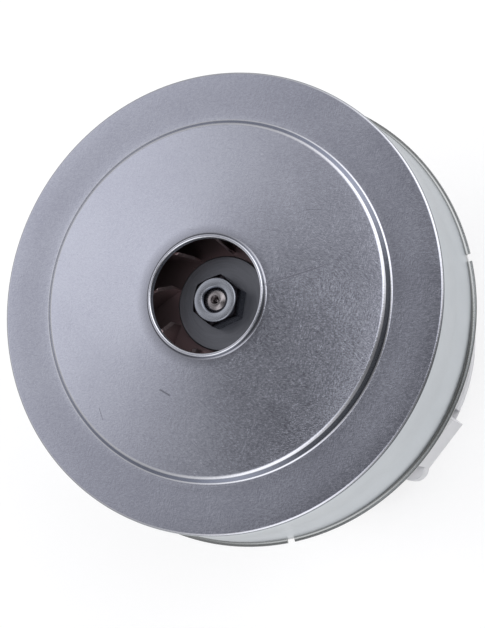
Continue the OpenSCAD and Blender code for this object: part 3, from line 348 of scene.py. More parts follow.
# Plain finishes, one row each: colour and its darker shade, metal share, roughness, size of the grain along and
# across in mm, how strongly it shows, size of the fine grain and depth of the bumps in mm, then what is special
finishes = {
    "white_plastic": ((0.80, 0.80, 0.815), (0.72, 0.72, 0.735), 0, 0.42, (6, 6), 0.5, 0.5, 0.015),
    "black_plastic": ((0.05, 0.05, 0.054), (0.026, 0.026, 0.028), 0, 0.48, (3, 3), 0.7, 0.35, 0.02),
    "core_steel": ((0.30, 0.31, 0.33), (0.15, 0.155, 0.17), 0.85, 0.42, (9, 0.5), 0.9, 0.3, 0.02, dict(layered=True)),
    "copper_winding": ((0.56, 0.22, 0.075), (0.33, 0.105, 0.03), 0.75, 0.26, (2.5, 2.5), 0.9, 0.25, 0.01,
        dict(coat=0.7)),
    "former_plastic": ((0.74, 0.69, 0.56), (0.62, 0.56, 0.43), 0, 0.4, (5, 5), 0.6, 0.5, 0.015),
    "insulation_board": ((0.62, 0.47, 0.27), (0.46, 0.33, 0.17), 0, 0.7, (1.2, 1.2), 1, 0.2, 0.03),
    "brown_resin": ((0.13, 0.055, 0.03), (0.07, 0.03, 0.018), 0, 0.35, (1.5, 1.5), 1, 0.3, 0.01),
    "bare_copper": ((0.78, 0.41, 0.25), (0.46, 0.21, 0.12), 1, 0.26, (40, 0.25), 0.8, 0.15, 0.008, dict(lathed=True)),
    "bearing_steel": ((0.72, 0.72, 0.74), (0.6, 0.6, 0.62), 1, 0.14, (60, 0.3), 0.6, 0.2, 0.003, dict(lathed=True)),
    "shield_steel": ((0.6, 0.6, 0.62), (0.46, 0.46, 0.48), 1, 0.3, (50, 0.4), 0.7, 0.3, 0.006, dict(lathed=True)),
    "cage_plastic": ((0.42, 0.27, 0.12), (0.3, 0.18, 0.08), 0, 0.45, (1, 1), 0.6, 0.2, 0.01),
    "black_rubber": ((0.032, 0.032, 0.034), (0.018, 0.018, 0.019), 0, 0.72, (1.2, 1.2), 0.8, 0.2, 0.03),
    "plated_steel": ((0.62, 0.62, 0.63), (0.47, 0.47, 0.48), 1, 0.32, (1.6, 0.4), 0.8, 0.3, 0.01),
    # nut_steel's side colour is painted shade on the flats and other faces that don't face up
    "nut_steel": ((0.49, 0.51, 0.55), (0.30, 0.315, 0.36), 1, 0.27, (40, 0.35), 0.8, 0.25, 0.012,
        dict(lathed=True, side=(0.10, 0.11, 0.135), sideFrom=0.86)),
    "dark_washer": ((0.23, 0.235, 0.26), (0.145, 0.15, 0.168), 0.85, 0.38, (30, 0.5), 0.7, 0.3, 0.01,
        dict(lathed=True)),
    "shaft_steel": ((0.46, 0.43, 0.43), (0.19, 0.17, 0.175), 1, 0.2, (40, 0.3), 0.8, 0.2, 0.01, dict(lathed=True)),
    # fan_aluminium darkens lower down inside the impeller: painted shade
    "fan_aluminium": ((0.74, 0.60, 0.59), (0.32, 0.24, 0.245), 0.9, 0.32, (3, 0.6), 0.9, 0.4, 0.015,
        dict(deep=(103.0, 113.5), dark=(0.22, 0.165, 0.17))),
    "plated_screw": ((0.66, 0.66, 0.64), (0.5, 0.5, 0.47), 1, 0.26, (1, 1), 0.7, 0.2, 0.01),
    "brass": ((0.76, 0.55, 0.24), (0.55, 0.37, 0.14), 1, 0.27, (8, 0.4), 0.8, 0.3, 0.008),
    "tinned_brass": ((0.68, 0.665, 0.62), (0.53, 0.51, 0.46), 1, 0.3, (6, 0.5), 0.8, 0.3, 0.008),
    "lead_insulation": ((0.78, 0.765, 0.69), (0.68, 0.66, 0.58), 0, 0.5, (1.5, 1.5), 0.6, 0.2, 0.01),
    "spring_steel": ((0.56, 0.56, 0.57), (0.4, 0.4, 0.41), 1, 0.24, (1, 1), 0.6, 0.2, 0.005),
    "graphite": ((0.085, 0.085, 0.09), (0.045, 0.045, 0.05), 0.35, 0.46, (4, 0.35), 1, 0.15, 0.015),
}

# what the plain finishes share: how far each noise moves the colour, the roughness and the bumps
finishMix = {"grain": 1.6, "fine": 0.5, "stain": 0.6, "stainSize": 11 * mm, "grainRougher": 0.25,
             "stainRougher": 0.12, "smoothest": 0.06, "roughest": 0.95, "grainBump": 0.6, "fineBump": 0.4,
             "coatRough": 0.15, "sideSoft": 0.15}


def makeFinish(name, a, b, metal, rough, size, show, fineSize, bump, more=None):
    f, more = finishMix, more or {}
    uniform = {"Coat_Weight": more["coat"], "Coat_Roughness": f["coatRough"]} if "coat" in more else {}
    made, bench, skin = newFinish(name, Metallic=float(metal), **uniform)
    place = bench.place()
    long, wide = size[0] * mm, size[1] * mm
    if "lathed" in more:
        x, y, z = bench.parts(place)
        drawn = bench.joined(reach(x, y) / wide, z / wide, y.turnFrom(x) * 2.0)
    else:
        drawn = bench.scaled(place, (1 / long, 1 / (long if "layered" in more else wide), 1 / wide))
    grain = bench.noise(drawn, 1.0, 3.0, 0.6)
    fine = bench.noise(place, 1 / (fineSize * mm))
    stain = bench.noise(place, 1 / f["stainSize"])
    mottle = 0.5 + grain.swing(f["grain"]) * show + fine.swing(f["fine"]) * show + stain.swing(f["stain"])
    shade = bench.mix(mottle.limited(), b, a)
    # painted shade: lower down, the colour darkens towards the deep shade colour
    if "deep" in more:
        low, high = more["deep"]
        shade = bench.mix(bench.parts(place)[2].above((low + high) / 2 * mm, (high - low) * mm), more["dark"], shade)
    # painted shade: faces that don't face up take the darker side colour
    if "side" in more:
        shade = bench.mix(bench.upright().above(more["sideFrom"], f["sideSoft"]), more["side"], shade)
    rough = rough + grain.swing(f["grainRougher"]) * show + stain.swing(f["stainRougher"])
    bumps = grain * f["grainBump"] + fine * f["fineBump"]
    wear(bench, skin, shade, rough.limited(f["smoothest"], f["roughest"]), bumps, bump * mm)
    return made


skins = {name: makeFinish(name, *row) for name, row in finishes.items()}
skins["zinc_steel"] = makeZincSheet(zincSheet)
print("finishes made:", len(skins))


# Mesh building, in millimetres

slotOf = {s["node"]: s["material_slot"] for s in frame["record"]["subparts"]}
bodyOf = {node: body for body, nodes in frame["record"]["behaviour"]["bodies"].items() for node in nodes}


def camel(node):
    first, *rest = node.split("_")
    return first + "".join(word.capitalize() for word in rest)


def boxMm(node):
    low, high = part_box(node)
    return low / mm, high / mm


def polar(r, angle, z):
    return r * math.cos(angle), r * math.sin(angle), z


def arc(cx, cy, r, a0, a1, n):
    turns = [math.radians(a0 + (a1 - a0) * i / n) for i in range(n + 1)]
    return [(cx + r * math.cos(a), cy + r * math.sin(a)) for a in turns]


def between(a, b, n):
    return [(a[0] + (b[0] - a[0]) * k / n, a[1] + (b[1] - a[1]) * k / n) for k in range(1, n)]


def movedLine(line, t):
    # the line moved sideways by t, one figure or one for each point, to the right of its direction
    def normal(a, b):
        dx, dy = b[0] - a[0], b[1] - a[1]
        size = math.hypot(dx, dy)
        return dy / size, -dx / size
    last = len(line) - 1
    moved = []
    for i, p in enumerate(line):
        before = normal(line[max(i - 1, 0)], line[max(i, 1)])
        after = normal(line[min(i, last - 1)], line[min(i + 1, last)])
        both = (before[0] + after[0], before[1] + after[1])
        grow = 2 * (t[i] if hasattr(t, "__len__") else t) / (both[0] ** 2 + both[1] ** 2)
        moved.append((p[0] + both[0] * grow, p[1] + both[1] * grow))
    return moved


def quads(rings, rows, around=True, closed=True):
    # four-sided faces between neighbouring rings of points
    return [(k * rows + i, m * rows + i, m * rows + j, k * rows + j)
            for k, m in ((k, (k + 1) % rings) for k in range(rings if around else rings - 1))
            for i, j in ((i, (i + 1) % rows) for i in range(rows if closed else rows - 1))]


class Build:
    # the points and faces of one piece
    def __init__(self):
        self.points = []
        self.faces = []

    def add(self, points, faces):
        base = len(self.points)
        self.points += [tuple(p) for p in points]
        self.faces += [tuple(base + k for k in face) for face in faces]
        return self

    def lathe(self, line, steps, closed=True):
        # the outline runs anticlockwise in the r, z plane for outward faces
        points = [polar(r, math.tau * k / steps, z) for k in range(steps) for r, z in line]
        faces = []
        for a, b, c, d in quads(steps, len(line), closed=closed):
            first, second = line[a % len(line)][0], line[d % len(line)][0]
            if first or second:  # on the axis a face has three corners, or none
                faces.append((a, b, c, d) if first and second else (a, b, c) if first else (a, c, d))
        return self.add(points, faces)

    def sweep(self, path, radius, sides=8, loop=False, flat=1.0, up=None):
        path = [Vector(p) for p in path]
        count = len(path)
        side = None
        points = []
        for i in range(count):
            ahead = path[(i + 1) % count if loop else min(i + 1, count - 1)]
            d = (ahead - path[i - 1 if loop else max(i - 1, 0)]).normalized()
            if up is not None:
                side = d.cross(Vector(up)).normalized()
            elif side is None:
                side = d.orthogonal().normalized()
            else:
                side = (side - d * side.dot(d)).normalized()
            other = d.cross(side)
            thick = radius[i] if hasattr(radius, "__len__") else radius
            points += [path[i] + thick * (side * math.cos(math.tau * k / sides)
                                          + other * flat * math.sin(math.tau * k / sides)) for k in range(sides)]
        faces = [(a, d, c, b) for a, b, c, d in quads(count, sides, around=loop)]
        if not loop:
            faces.append(tuple(reversed(range(sides))))
            faces.append(tuple((count - 1) * sides + k for k in range(sides)))
        return self.add(points, faces)

    def block(self, low, high):
        (x0, y0, z0), (x1, y1, z1) = low, high
        points = [(x, y, z) for z in (z0, z1) for y in (y0, y1) for x in (x0, x1)]
        return self.add(points, [(0, 2, 3, 1), (4, 5, 7, 6), (0, 1, 5, 4), (2, 6, 7, 3), (0, 4, 6, 2), (1, 3, 7, 5)])

    def turned(self, angle):
        c, s = math.cos(angle), math.sin(angle)
        self.points = [(x * c - y * s, x * s + y * c, z) for x, y, z in self.points]
        return self

    def join(self, other):
        return self.add(other.points, other.faces)


softEdges = {"segments": 2, "angle": 38, "weld": 0.002, "flatten": 4.0, "sharp": 32}


def settle(piece):
    # applies a piece's modifiers
    ready = bpy.data.meshes.new_from_object(piece.evaluated_get(bpy.context.evaluated_depsgraph_get()))
    piece.modifiers.clear()
    piece.data = ready


def rounded(piece, width):
    edge = piece.modifiers.new("edges", "BEVEL")
    edge.width = width * mm
    edge.segments = softEdges["segments"]
    edge.limit_method = "ANGLE"
    edge.angle_limit = math.radians(softEdges["angle"])
    edge.use_clamp_overlap = True
    edge.miter_outer = "MITER_ARC"
    settle(piece)


def finishPiece(piece, finish, body, replaces, sharp):
    mesh = piece.data
    mesh.materials.clear()
    mesh.materials.append(skins[finish])
    mesh.shade_smooth()
    mesh.set_sharp_from_angle(angle=math.radians(sharp))
    for node in replaces:
        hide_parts(node)
    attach(piece, body)


def makePiece(name, build, finish, body, replaces=(), sharp=softEdges["sharp"], bevel=0.0):
    mesh = bpy.data.meshes.new(name)
    mesh.from_pydata([(x * mm, y * mm, z * mm) for x, y, z in build.points], [], build.faces)
    tidy = bmesh.new()
    tidy.from_mesh(mesh)
    bmesh.ops.remove_doubles(tidy, verts=tidy.verts, dist=0.0004 * mm)
    tidy.to_mesh(mesh)
    tidy.free()
    mesh.update()
    piece = linked(name, mesh)
    if bevel:
        rounded(piece, bevel)
    finishPiece(piece, finish, body, replaces, sharp)
    return piece


def standIn(node, build, sharp=softEdges["sharp"]):
    # a piece in place of a CAD solid, with the solid's finish and body
    return makePiece(camel(node), build, slotOf[node], bodyOf[node], [node], sharp)


def softened(node, width):
    # a CAD solid with its edges rounded as a moulded or stamped part has them
    mesh = frame["nodes"][node].data.copy()
    piece = linked(camel(node), mesh)
    work = bmesh.new()
    work.from_mesh(mesh)
    bmesh.ops.remove_doubles(work, verts=work.verts, dist=softEdges["weld"] * mm)
    bmesh.ops.dissolve_limit(work, angle_limit=math.radians(softEdges["flatten"]), verts=work.verts,
                             edges=work.edges, delimit={"NORMAL"})
    work.to_mesh(mesh)
    work.free()
    mesh.update()
    rounded(piece, width)
    finishPiece(piece, slotOf[node], bodyOf[node], [node], softEdges["sharp"])
    even = piece.modifiers.new("normals", "WEIGHTED_NORMAL")  # keeps the flat faces flat in shading
    even.keep_sharp = True
    settle(piece)


# Fan cover: deep-drawn sheet with a rolled inlet lip, a raised disc and a notched flange

coverSheet = {
    "sheet": 0.8, "thinSheet": 0.45, "wallR": 65.0, "footWallR": 66.2, "flareHigh": 13.0, "flareLead": 1.5,
    "inletR": 15.98, "lipR": 0.52, "collar": 1.2, "lipTurn": 12.0, "blendR": 0.9, "coneSlope": 4.9, "edgeR": 48.65,
    "footR": 51.3, "rise": 2.0, "fillet": 0.8, "upperFillet": 1.5, "rampAngle": 58.0, "faceDrop": 6.3,
    "cornerR": 0.9, "bendR": 0.8, "soft": 0.15, "steps": 360,
    "notches": 4, "notchWide": 2.2, "notchTurn": 50.0, "notchIn": 66.28, "notchHigh": 4.0, "notchSide": 0.02,
}


def coverLine(c, low, high):
    lipZ, faceZ = high.z - c["lipR"], high.z - c["faceDrop"]
    lipR, away, turn = c["inletR"] + c["lipR"], c["lipR"] + c["blendR"], math.radians(c["lipTurn"])
    line = [(c["inletR"], lipZ - c["collar"]), (c["inletR"], lipZ - c["collar"] / 2)]
    line += arc(lipR, lipZ, c["lipR"], 180, c["lipTurn"], 20)
    line += arc(lipR + away * math.cos(turn), lipZ + away * math.sin(turn), c["blendR"],
                180 + c["lipTurn"] + 4, 270 - c["coneSlope"], 18)
    edge = arc(c["edgeR"], faceZ + c["rise"] - c["upperFillet"], c["upperFillet"], 90 - c["coneSlope"],
               90 - c["rampAngle"], 14)
    line += between(line[-1], edge[0], 6) + edge
    line += arc(c["footR"], faceZ + c["fillet"], c["fillet"], 270 - c["rampAngle"], 270, 10)
    line += [(c["footR"] + 4, faceZ), (c["footR"] + 8, faceZ)]
    line += arc(c["wallR"] - c["cornerR"], faceZ - c["cornerR"], c["cornerR"], 90, 0, 14)
    bendZ, drop, grow = low.z + c["sheet"] + c["bendR"], c["flareHigh"] + c["flareLead"], c["footWallR"] - c["wallR"]
    line += between(line[-1], (c["wallR"], bendZ + drop), 4)
    line += [(c["wallR"] + grow * (1 - math.cos(math.pi * k / 8)) / 2, bendZ + drop - drop * k / 8) for k in range(8)]
    line += arc(c["footWallR"] + c["bendR"], bendZ, c["bendR"], 180, 270, 8)
    return line + [(high.x - c["soft"], low.z + c["sheet"]), (high.x, low.z + c["sheet"] - c["soft"])]


def makeCover(c):
    low, high = boxMm("fan_cover")
    top = coverLine(c, low, high)
    lip = sum(1 for r, z in top if r < c["inletR"] + c["lipR"] * 2 + c["blendR"])  # the thin part of the sheet
    thick = [c["thinSheet"] + (c["sheet"] - c["thinSheet"]) * min(max((i - lip) / 4, 0), 1)
             for i in range(len(top) - 1)]
    under = movedLine(top[:-1], thick)
    outline = under[:-1] + [(high.x - c["soft"], low.z), (high.x, low.z + c["soft"])] + top[::-1]
    # at a notch the outline is drawn in between two close pairs of rings
    half = math.degrees(c["notchWide"] / 2 / high.x)
    turns = [(360 * k / c["steps"], False) for k in range(c["steps"])]
    for k in range(c["notches"]):
        middle = c["notchTurn"] + k * 360 / c["notches"]
        turns = [t for t in turns if abs(t[0] - middle) > half]
        turns += [(middle - half, False), (middle - half + c["notchSide"], True), (middle, True),
                  (middle + half - c["notchSide"], True), (middle + half, False)]
    build = Build()
    for angle, cut in sorted(turns):
        build.points += [polar(min(r, c["notchIn"]) if cut and z < low.z + c["notchHigh"] else r,
                               math.radians(angle), z) for r, z in outline]
    build.faces = quads(len(turns), len(outline))
    standIn("fan_cover", build, sharp=40)


makeCover(coverSheet)
print("cover made")


# Nut, washers and shaft

nutShape = {"across": 13.0, "inset": 0.02, "faceR": 6.05, "slope": 0.9, "bore": 3.45, "mouth": 3.75, "round": 0.22,
            "steps": 120}
washerShape = {"bore": 4.05, "soft": {"front_washer": 0.35, "rear_washer": 0.2, "bearing_spacer": 0.2}, "steps": 160}
shaftShape = {
    "front": 4.0, "rear": 3.5, "middle": 5.0, "step": 0.4, "chamfer": 0.75, "domeR": 3.2, "domeDrop": 0.75,
    "centreR": 1.15, "centreDepth": 2.2, "threadPitch": 1.25, "threadDepth": 0.3, "threadStart": 100.8,
    "threadAt": (0.2, 0.6, 0.75, 1.15), "rearEdge": 0.5, "shoulder": 3.7, "steps": 96,
}


def makeNut(n):
    low, high = boxMm("shaft_nut")
    face, slope, soft, bore, mouth = (n[key] for key in ("faceR", "slope", "round", "bore", "mouth"))
    build = Build()
    for k in range(n["steps"]):
        angle = 360 * k / n["steps"]
        out = n["across"] / 2 / math.cos(math.radians((angle % 60) - 30)) - n["inset"]
        drop = (out - face) * slope
        line = [(bore, low.z), (out - 0.1, low.z), (out, low.z + 0.1), (out, (low.z + high.z) / 2),
                (out, high.z - drop - soft), (out - soft * 0.35, high.z - drop - soft * 0.1),
                (face + soft, high.z - soft * slope), (face, high.z - soft * 0.25), (face - soft, high.z),
                (mouth + 0.2, high.z), (mouth + 0.05, high.z - 0.06), (bore, high.z - 0.06 - (mouth - bore))]
        build.points += [polar(r, math.radians(angle), z) for r, z in line]
    build.faces = quads(n["steps"], len(line))
    standIn("shaft_nut", build, sharp=40)


def ringOutline(rIn, rOut, z0, z1, soft):
    return [(rIn, z0), (rOut - soft, z0), (rOut, z0 + soft), (rOut, z1 - soft), (rOut - soft, z1), (rIn + soft, z1),
            (rIn, z1 - soft)]


def makeWashers(w):
    for node, soft in w["soft"].items():
        low, high = boxMm(node)
        standIn(node, Build().lathe(ringOutline(w["bore"], high.x, low.z, high.z, soft), w["steps"]))


def makeShaft(s):
    low, high = boxMm("shaft")
    commutator, seat = boxMm("commutator_bars")[0].z, boxMm("front_bearing_inner")[0].z
    rearSeat = boxMm("rear_bearing_inner")[1].z
    front, rear, middle, step, edge = (s[key] for key in ("front", "rear", "middle", "step", "rearEdge"))
    below, above = commutator - s["shoulder"], seat - s["shoulder"]
    line = [(0, low.z), (rear - edge, low.z), (rear, low.z + edge), (rear, rearSeat), (rear + step, rearSeat + 0.02),
            (rear + step, below - 0.6), (middle - 0.3, below - 0.3), (middle, below), (middle, above - 0.2),
            (middle - 0.2, above), (front + step, above), (front + step, seat - 0.1), (front, seat)]
    root = front - s["threadDepth"]
    for k in range(int((high.z - s["chamfer"] - s["threadStart"]) / s["threadPitch"])):
        z = s["threadStart"] + k * s["threadPitch"]
        line += [(front, z)] + [(r, z + up) for r, up in zip((front, root, root, front), s["threadAt"])]
    # the domed end with its centre hole
    dome, drop, centre = s["domeR"], s["domeDrop"], s["centreR"]
    line += [(front - 0.1, high.z - drop - s["chamfer"]), (dome + 0.1, high.z - drop - 0.1)]
    line += [(dome + (centre + 0.1 - dome) * k / 8, high.z - drop * (1 - k / 8) ** 2) for k in range(9)]
    line += [(centre, high.z - 0.1), (centre * 0.4, high.z - 1.4), (centre * 0.3, high.z - s["centreDepth"]),
             (0, high.z - s["centreDepth"] - 0.3)]
    standIn("shaft", Build().lathe(line, s["steps"], closed=False), sharp=30)


makeNut(nutShape)
makeWashers(washerShape)
makeShaft(shaftShape)
print("shaft, nut and washers made")


# Impeller: blades between the back plate and the coned shroud

impellerShape = {"sheet": 0.8, "eyeR": 17.6, "bendR": 2.4, "collar": 0.9, "rise": 3.0, "steps": 192, "bore": 4.05,
                 "soft": 0.2, "bladeEdge": 0.12}


def makeImpeller(m):
    low, high = boxMm("impeller_shroud")
    throat = low.z + m["rise"] + m["bendR"]
    bend = arc(m["eyeR"] + m["bendR"], throat, m["bendR"], 270, 180, 14)
    rim = (high.x, low.z)
    line = [rim] + between(rim, bend[0], 8) + bend + [(m["eyeR"], throat + m["collar"])]
    standIn("impeller_shroud", Build().lathe(movedLine(line, m["sheet"])[::-1] + line, m["steps"]), sharp=40)
    low, high = boxMm("impeller_back_plate")
    plate = ringOutline(m["bore"], high.x, low.z, high.z, m["soft"])
    standIn("impeller_back_plate", Build().lathe(plate, m["steps"]))
    softened("impeller_blades", m["bladeEdge"])


makeImpeller(impellerShape)
print("impeller made")


# Moulded and stamped parts, each with the width of its rounded edges

edgeWidths = {
    "motor_frame": 0.35, "rear_bracket": 0.35, "diffuser": 0.25, "brush_holder_a": 0.35, "brush_holder_b": 0.35,
    "coil_former_a": 0.2, "coil_former_b": 0.2, "rear_bearing_sleeve": 0.2, "commutator_core": 0.2,
    "bearing_retainer": 0.15, "brush_guide_a": 0.12, "brush_guide_b": 0.12, "carbon_brush_a": 0.25,
    "carbon_brush_b": 0.25, "brush_terminal_a": 0.12, "brush_terminal_b": 0.12, "supply_terminals": 0.12,
}
for node, width in edgeWidths.items():
    softened(node, width)
print("moulded and stamped parts made")


# Laminated cores: the CAD outline stacked as separate sheets

coreStack = {"sheet": 0.65, "groove": 0.1, "grooveDepth": 0.09}


def capOutline(node):
    # the flat top of a node: its points, its triangles and its directed rim
    work = bmesh.new()
    work.from_mesh(frame["nodes"][node].data)
    top = boxMm(node)[1].z * mm
    others = [f for f in work.faces if f.normal.z < 0.99 or abs(f.calc_center_median().z - top) > 0.01 * mm]
    bmesh.ops.delete(work, geom=others, context="FACES")
    bmesh.ops.remove_doubles(work, verts=work.verts, dist=0.003 * mm)
    work.verts.index_update()
    points = [(v.co.x / mm, v.co.y / mm) for v in work.verts]
    triangles = [[v.index for v in f.verts] for f in work.faces]
    rim = [(loop.vert.index, loop.link_loop_next.vert.index) for f in work.faces for loop in f.loops
           if len(loop.edge.link_faces) == 1]
    work.free()
    return points, triangles, rim


def makeCore(node, c):
    points, triangles, rim = capOutline(node)
    low, high = boxMm(node)
    inward = {}
    for a, b in rim:
        dx, dy = points[b][0] - points[a][0], points[b][1] - points[a][1]
        size = math.hypot(dx, dy) or 1
        for k in (a, b):
            x, y = inward.get(k, (0, 0))
            inward[k] = (x - dy / size, y + dx / size)
    order = {k: i for i, k in enumerate(sorted(inward))}
    sheets = round((high.z - low.z) / c["sheet"])
    levels = [(low.z, 0.0)]
    for k in range(1, sheets):
        z = low.z + k * ((high.z - low.z) / sheets)
        levels += [(z - c["groove"] / 2, 0.0), (z, c["grooveDepth"]), (z + c["groove"] / 2, 0.0)]
    levels.append((high.z, 0.0))
    build = Build()
    for z, inset in levels:
        for k in order:
            nx, ny = inward[k]
            grow = inset * 2 / max(nx * nx + ny * ny, 1.0)
            build.points.append((points[k][0] + nx * grow, points[k][1] + ny * grow, z))
    n = len(order)
    for k in range(len(levels) - 1):
        for i, j in ((order[a], order[b]) for a, b in rim):
            build.faces.append((k * n + i, k * n + j, (k + 1) * n + j, (k + 1) * n + i))
    build.add([(x, y, high.z) for x, y in points], triangles)
    build.add([(x, y, low.z) for x, y in points], [t[::-1] for t in triangles])
    standIn(node, build, sharp=30)


makeCore("stator_core", coreStack)
makeCore("rotor_core", {**coreStack, "sheet": 1.1})
print("laminated cores made")


# Windings

fieldWire = {"wire": 0.82, "build": 7.9, "cornerR": 8.0, "layers": 3, "wobble": 0.07, "nested": 0.88, "slack": 0.98,
             "coreIn": 0.8}


def roundedLoop(halfWide, z0, z1, r, y):
    x = halfWide - r
    loop = []
    for cx, cz, a, end in ((x, z1 - r, 90, (halfWide, z0 + r)), (x, z0 + r, 0, (-halfWide + r, z0)),
                           (-halfWide + r, z0 + r, -90, (-halfWide, z1 - r)), (-halfWide + r, z1 - r, -180, (x, z1))):
        loop += arc(cx, cz, r, a, a - 90, 8)
        loop += between(loop[-1], end, 6)
    return [(x, y, z) for x, z in loop]


def makeFieldCoil(node, w, turn, seed):
    # outer layers as single turns over a plain core
    low, high = boxMm("field_coil_a")
    build = Build()
    r, wire, wobble = w["wire"] / 2, w["wire"], w["wobble"]
    dice = random.Random(seed)
    for layer in range(w["layers"]):
        count = int((high.y - low.y) / wire) - (layer % 2)
        first = low.y + (high.y - low.y - (count - 1) * wire) / 2
        for k in range(count):
            off = r + layer * wire * w["nested"] + dice.uniform(0, wobble)
            path = roundedLoop(high.x - off, low.z + off, high.z - off, w["cornerR"] - off, first + k * wire)
            path = [(x + dice.uniform(-1, 1) * wobble / 3, y + dice.uniform(-1, 1) * wobble / 2,
                     z + dice.uniform(-1, 1) * wobble / 3) for x, y, z in path]
            build.sweep(path, r * w["slack"], 7, loop=True, up=(0, 1, 0))
    deep, wide = wire * w["layers"] * w["coreIn"], w["build"]
    outer = roundedLoop(high.x - deep, low.z + deep, high.z - deep, w["cornerR"] - deep * 0.7, 0)
    inner = roundedLoop(high.x - wide, low.z + wide, high.z - wide, 0.8, 0)
    n = len(outer)
    faces = []
    for k in range(n):
        m = (k + 1) % n
        faces += [(k, m, n + m, n + k), (2 * n + m, 2 * n + k, 3 * n + k, 3 * n + m),
                  (m, k, 2 * n + k, 2 * n + m), (n + k, n + m, 3 * n + m, 3 * n + k)]
    build.add([(x, y, z) for y in (low.y + 0.1, high.y - 0.1) for loop in (outer, inner) for x, _, z in loop], faces)
    standIn(node, build.turned(turn), sharp=60)


rotorWire = {
    "slots": 22, "span": 9, "wire": 0.62, "bundle": 7, "spread": 1.054, "slotR": 17.8, "innerR": 7.4, "points": 20,
    "wobble": 0.12, "lowest": 1.6, "crown": 3.4, "first": 0.15, "clear": 2.0, "spiral": 2.4, "bulge": 1.3,
    # how a bundle runs from slot to slot: its flatness, the end of its bulge, how it bends in, and how it rises
    "flatter": 0.8, "bulgeEnd": 0.33, "inwards": 1.6, "upwards": (1.9, 0.75), "under": 0.55, "eased": 0.08,
    "core": [(7.4, 0.2, 0), (17.2, 0.2, 0), (17.0, 0, 0.45), (13, 0, 0.7), (8.4, 0, 0.62)],
    "slotSpread": 1.15, "slotWire": 0.42, "wedgeLow": (19.5, -0.72), "wedgeHigh": (20.7, 0.72), "wedgePast": 0.3,
}


def makeHead(node, w, sign, seed):
    # bundles that cross the rotor's end from slot to slot, the later ones over the earlier
    low, high = boxMm(node)
    build = Build()
    dice = random.Random(seed)
    tall, start = high.z - low.z, low.z if sign > 0 else high.z
    gain, power = w["upwards"]
    for slot in range(w["slots"]):
        share = slot / (w["slots"] - 1)
        for k in range(w["bundle"]):
            ring, side = w["spread"] * w["wire"] if k else 0.0, math.tau * k / (w["bundle"] - 1)
            offR, offZ = ring * math.cos(side), ring * math.sin(side)
            topZ = w["lowest"] + (tall - w["crown"]) * (w["first"] + (1 - w["first"]) * share) + offZ
            topZ = topZ + dice.uniform(-1, 1) * w["wobble"]
            inner = w["innerR"] + w["clear"] + w["spiral"] * (1 - share) + offR + dice.uniform(-1, 1) * w["wobble"]
            path = []
            for i in range(w["points"] + 1):
                t = i / w["points"]
                rise, near = math.sin(math.pi * t), min(t, 1 - t)
                bulge = w["bulge"] * math.sin(math.pi * near * 3) if near < w["bulgeEnd"] else 0
                r = w["slotR"] + offR * w["flatter"] + bulge - (w["slotR"] - inner) * rise ** w["inwards"]
                up = min(1.0, gain * rise ** power)
                z = min(max(topZ * up, 0.0), tall - w["wire"] * w["under"])
                a = math.tau * (slot + w["span"] * (t - w["eased"] * math.sin(math.tau * t))) / w["slots"]
                path.append(polar(r, a, start + sign * z))
            build.sweep(path, w["wire"] / 2, 6)
    build.lathe([(r, start + sign * (z + tall * up)) for r, z, up in w["core"][::sign]], 3 * w["slots"])
    standIn(node, build, sharp=60)


def makeSlotWires(w):
    low, high = boxMm("rotor_slot_wires")
    build, wedges = Build(), Build()
    for slot in range(w["slots"]):
        turn = math.tau * slot / w["slots"]
        group = Build()
        for k in range(9):
            ring = 0.0 if k == 0 else w["slotSpread"]
            x, y = w["slotR"] + ring * math.cos(math.tau * k / 8), ring * math.sin(math.tau * k / 8)
            group.sweep([(x, y, low.z), (x, y, high.z)], w["slotWire"])
        build.join(group.turned(turn))
        wedge = Build().block((*w["wedgeLow"], low.z - w["wedgePast"]), (*w["wedgeHigh"], high.z + w["wedgePast"]))
        wedges.join(wedge.turned(turn))
    standIn("rotor_slot_wires", build, sharp=60)
    makePiece("slotWedges", wedges, "insulation_board", "rotor", bevel=0.1)


makeFieldCoil("field_coil_a", fieldWire, 0.0, 11)
makeFieldCoil("field_coil_b", fieldWire, math.pi, 12)
makeHead("winding_head_front", rotorWire, 1, 21)
makeHead("winding_head_rear", rotorWire, -1, 22)
makeSlotWires(rotorWire)
print("windings made")


# Ball bearings: outer radius, inner radius and ball of each, then what they share

bearings = {
    "front": (11.0, 4.0, 3.9), "rear": (9.5, 3.5, 3.4), "balls": 7, "raceShare": 0.27, "play": 0.06, "soft": 0.35,
    "shield": 0.3, "shieldInset": 0.25, "shieldGap": 0.3, "shieldRib": (0.45, 0.62, 0.1), "lip": 0.1,
    "chamfer": [(1, 0), (0.45, 0.08), (0.08, 0.45), (0, 1)], "cageEdge": 0.08, "steps": 120,
}


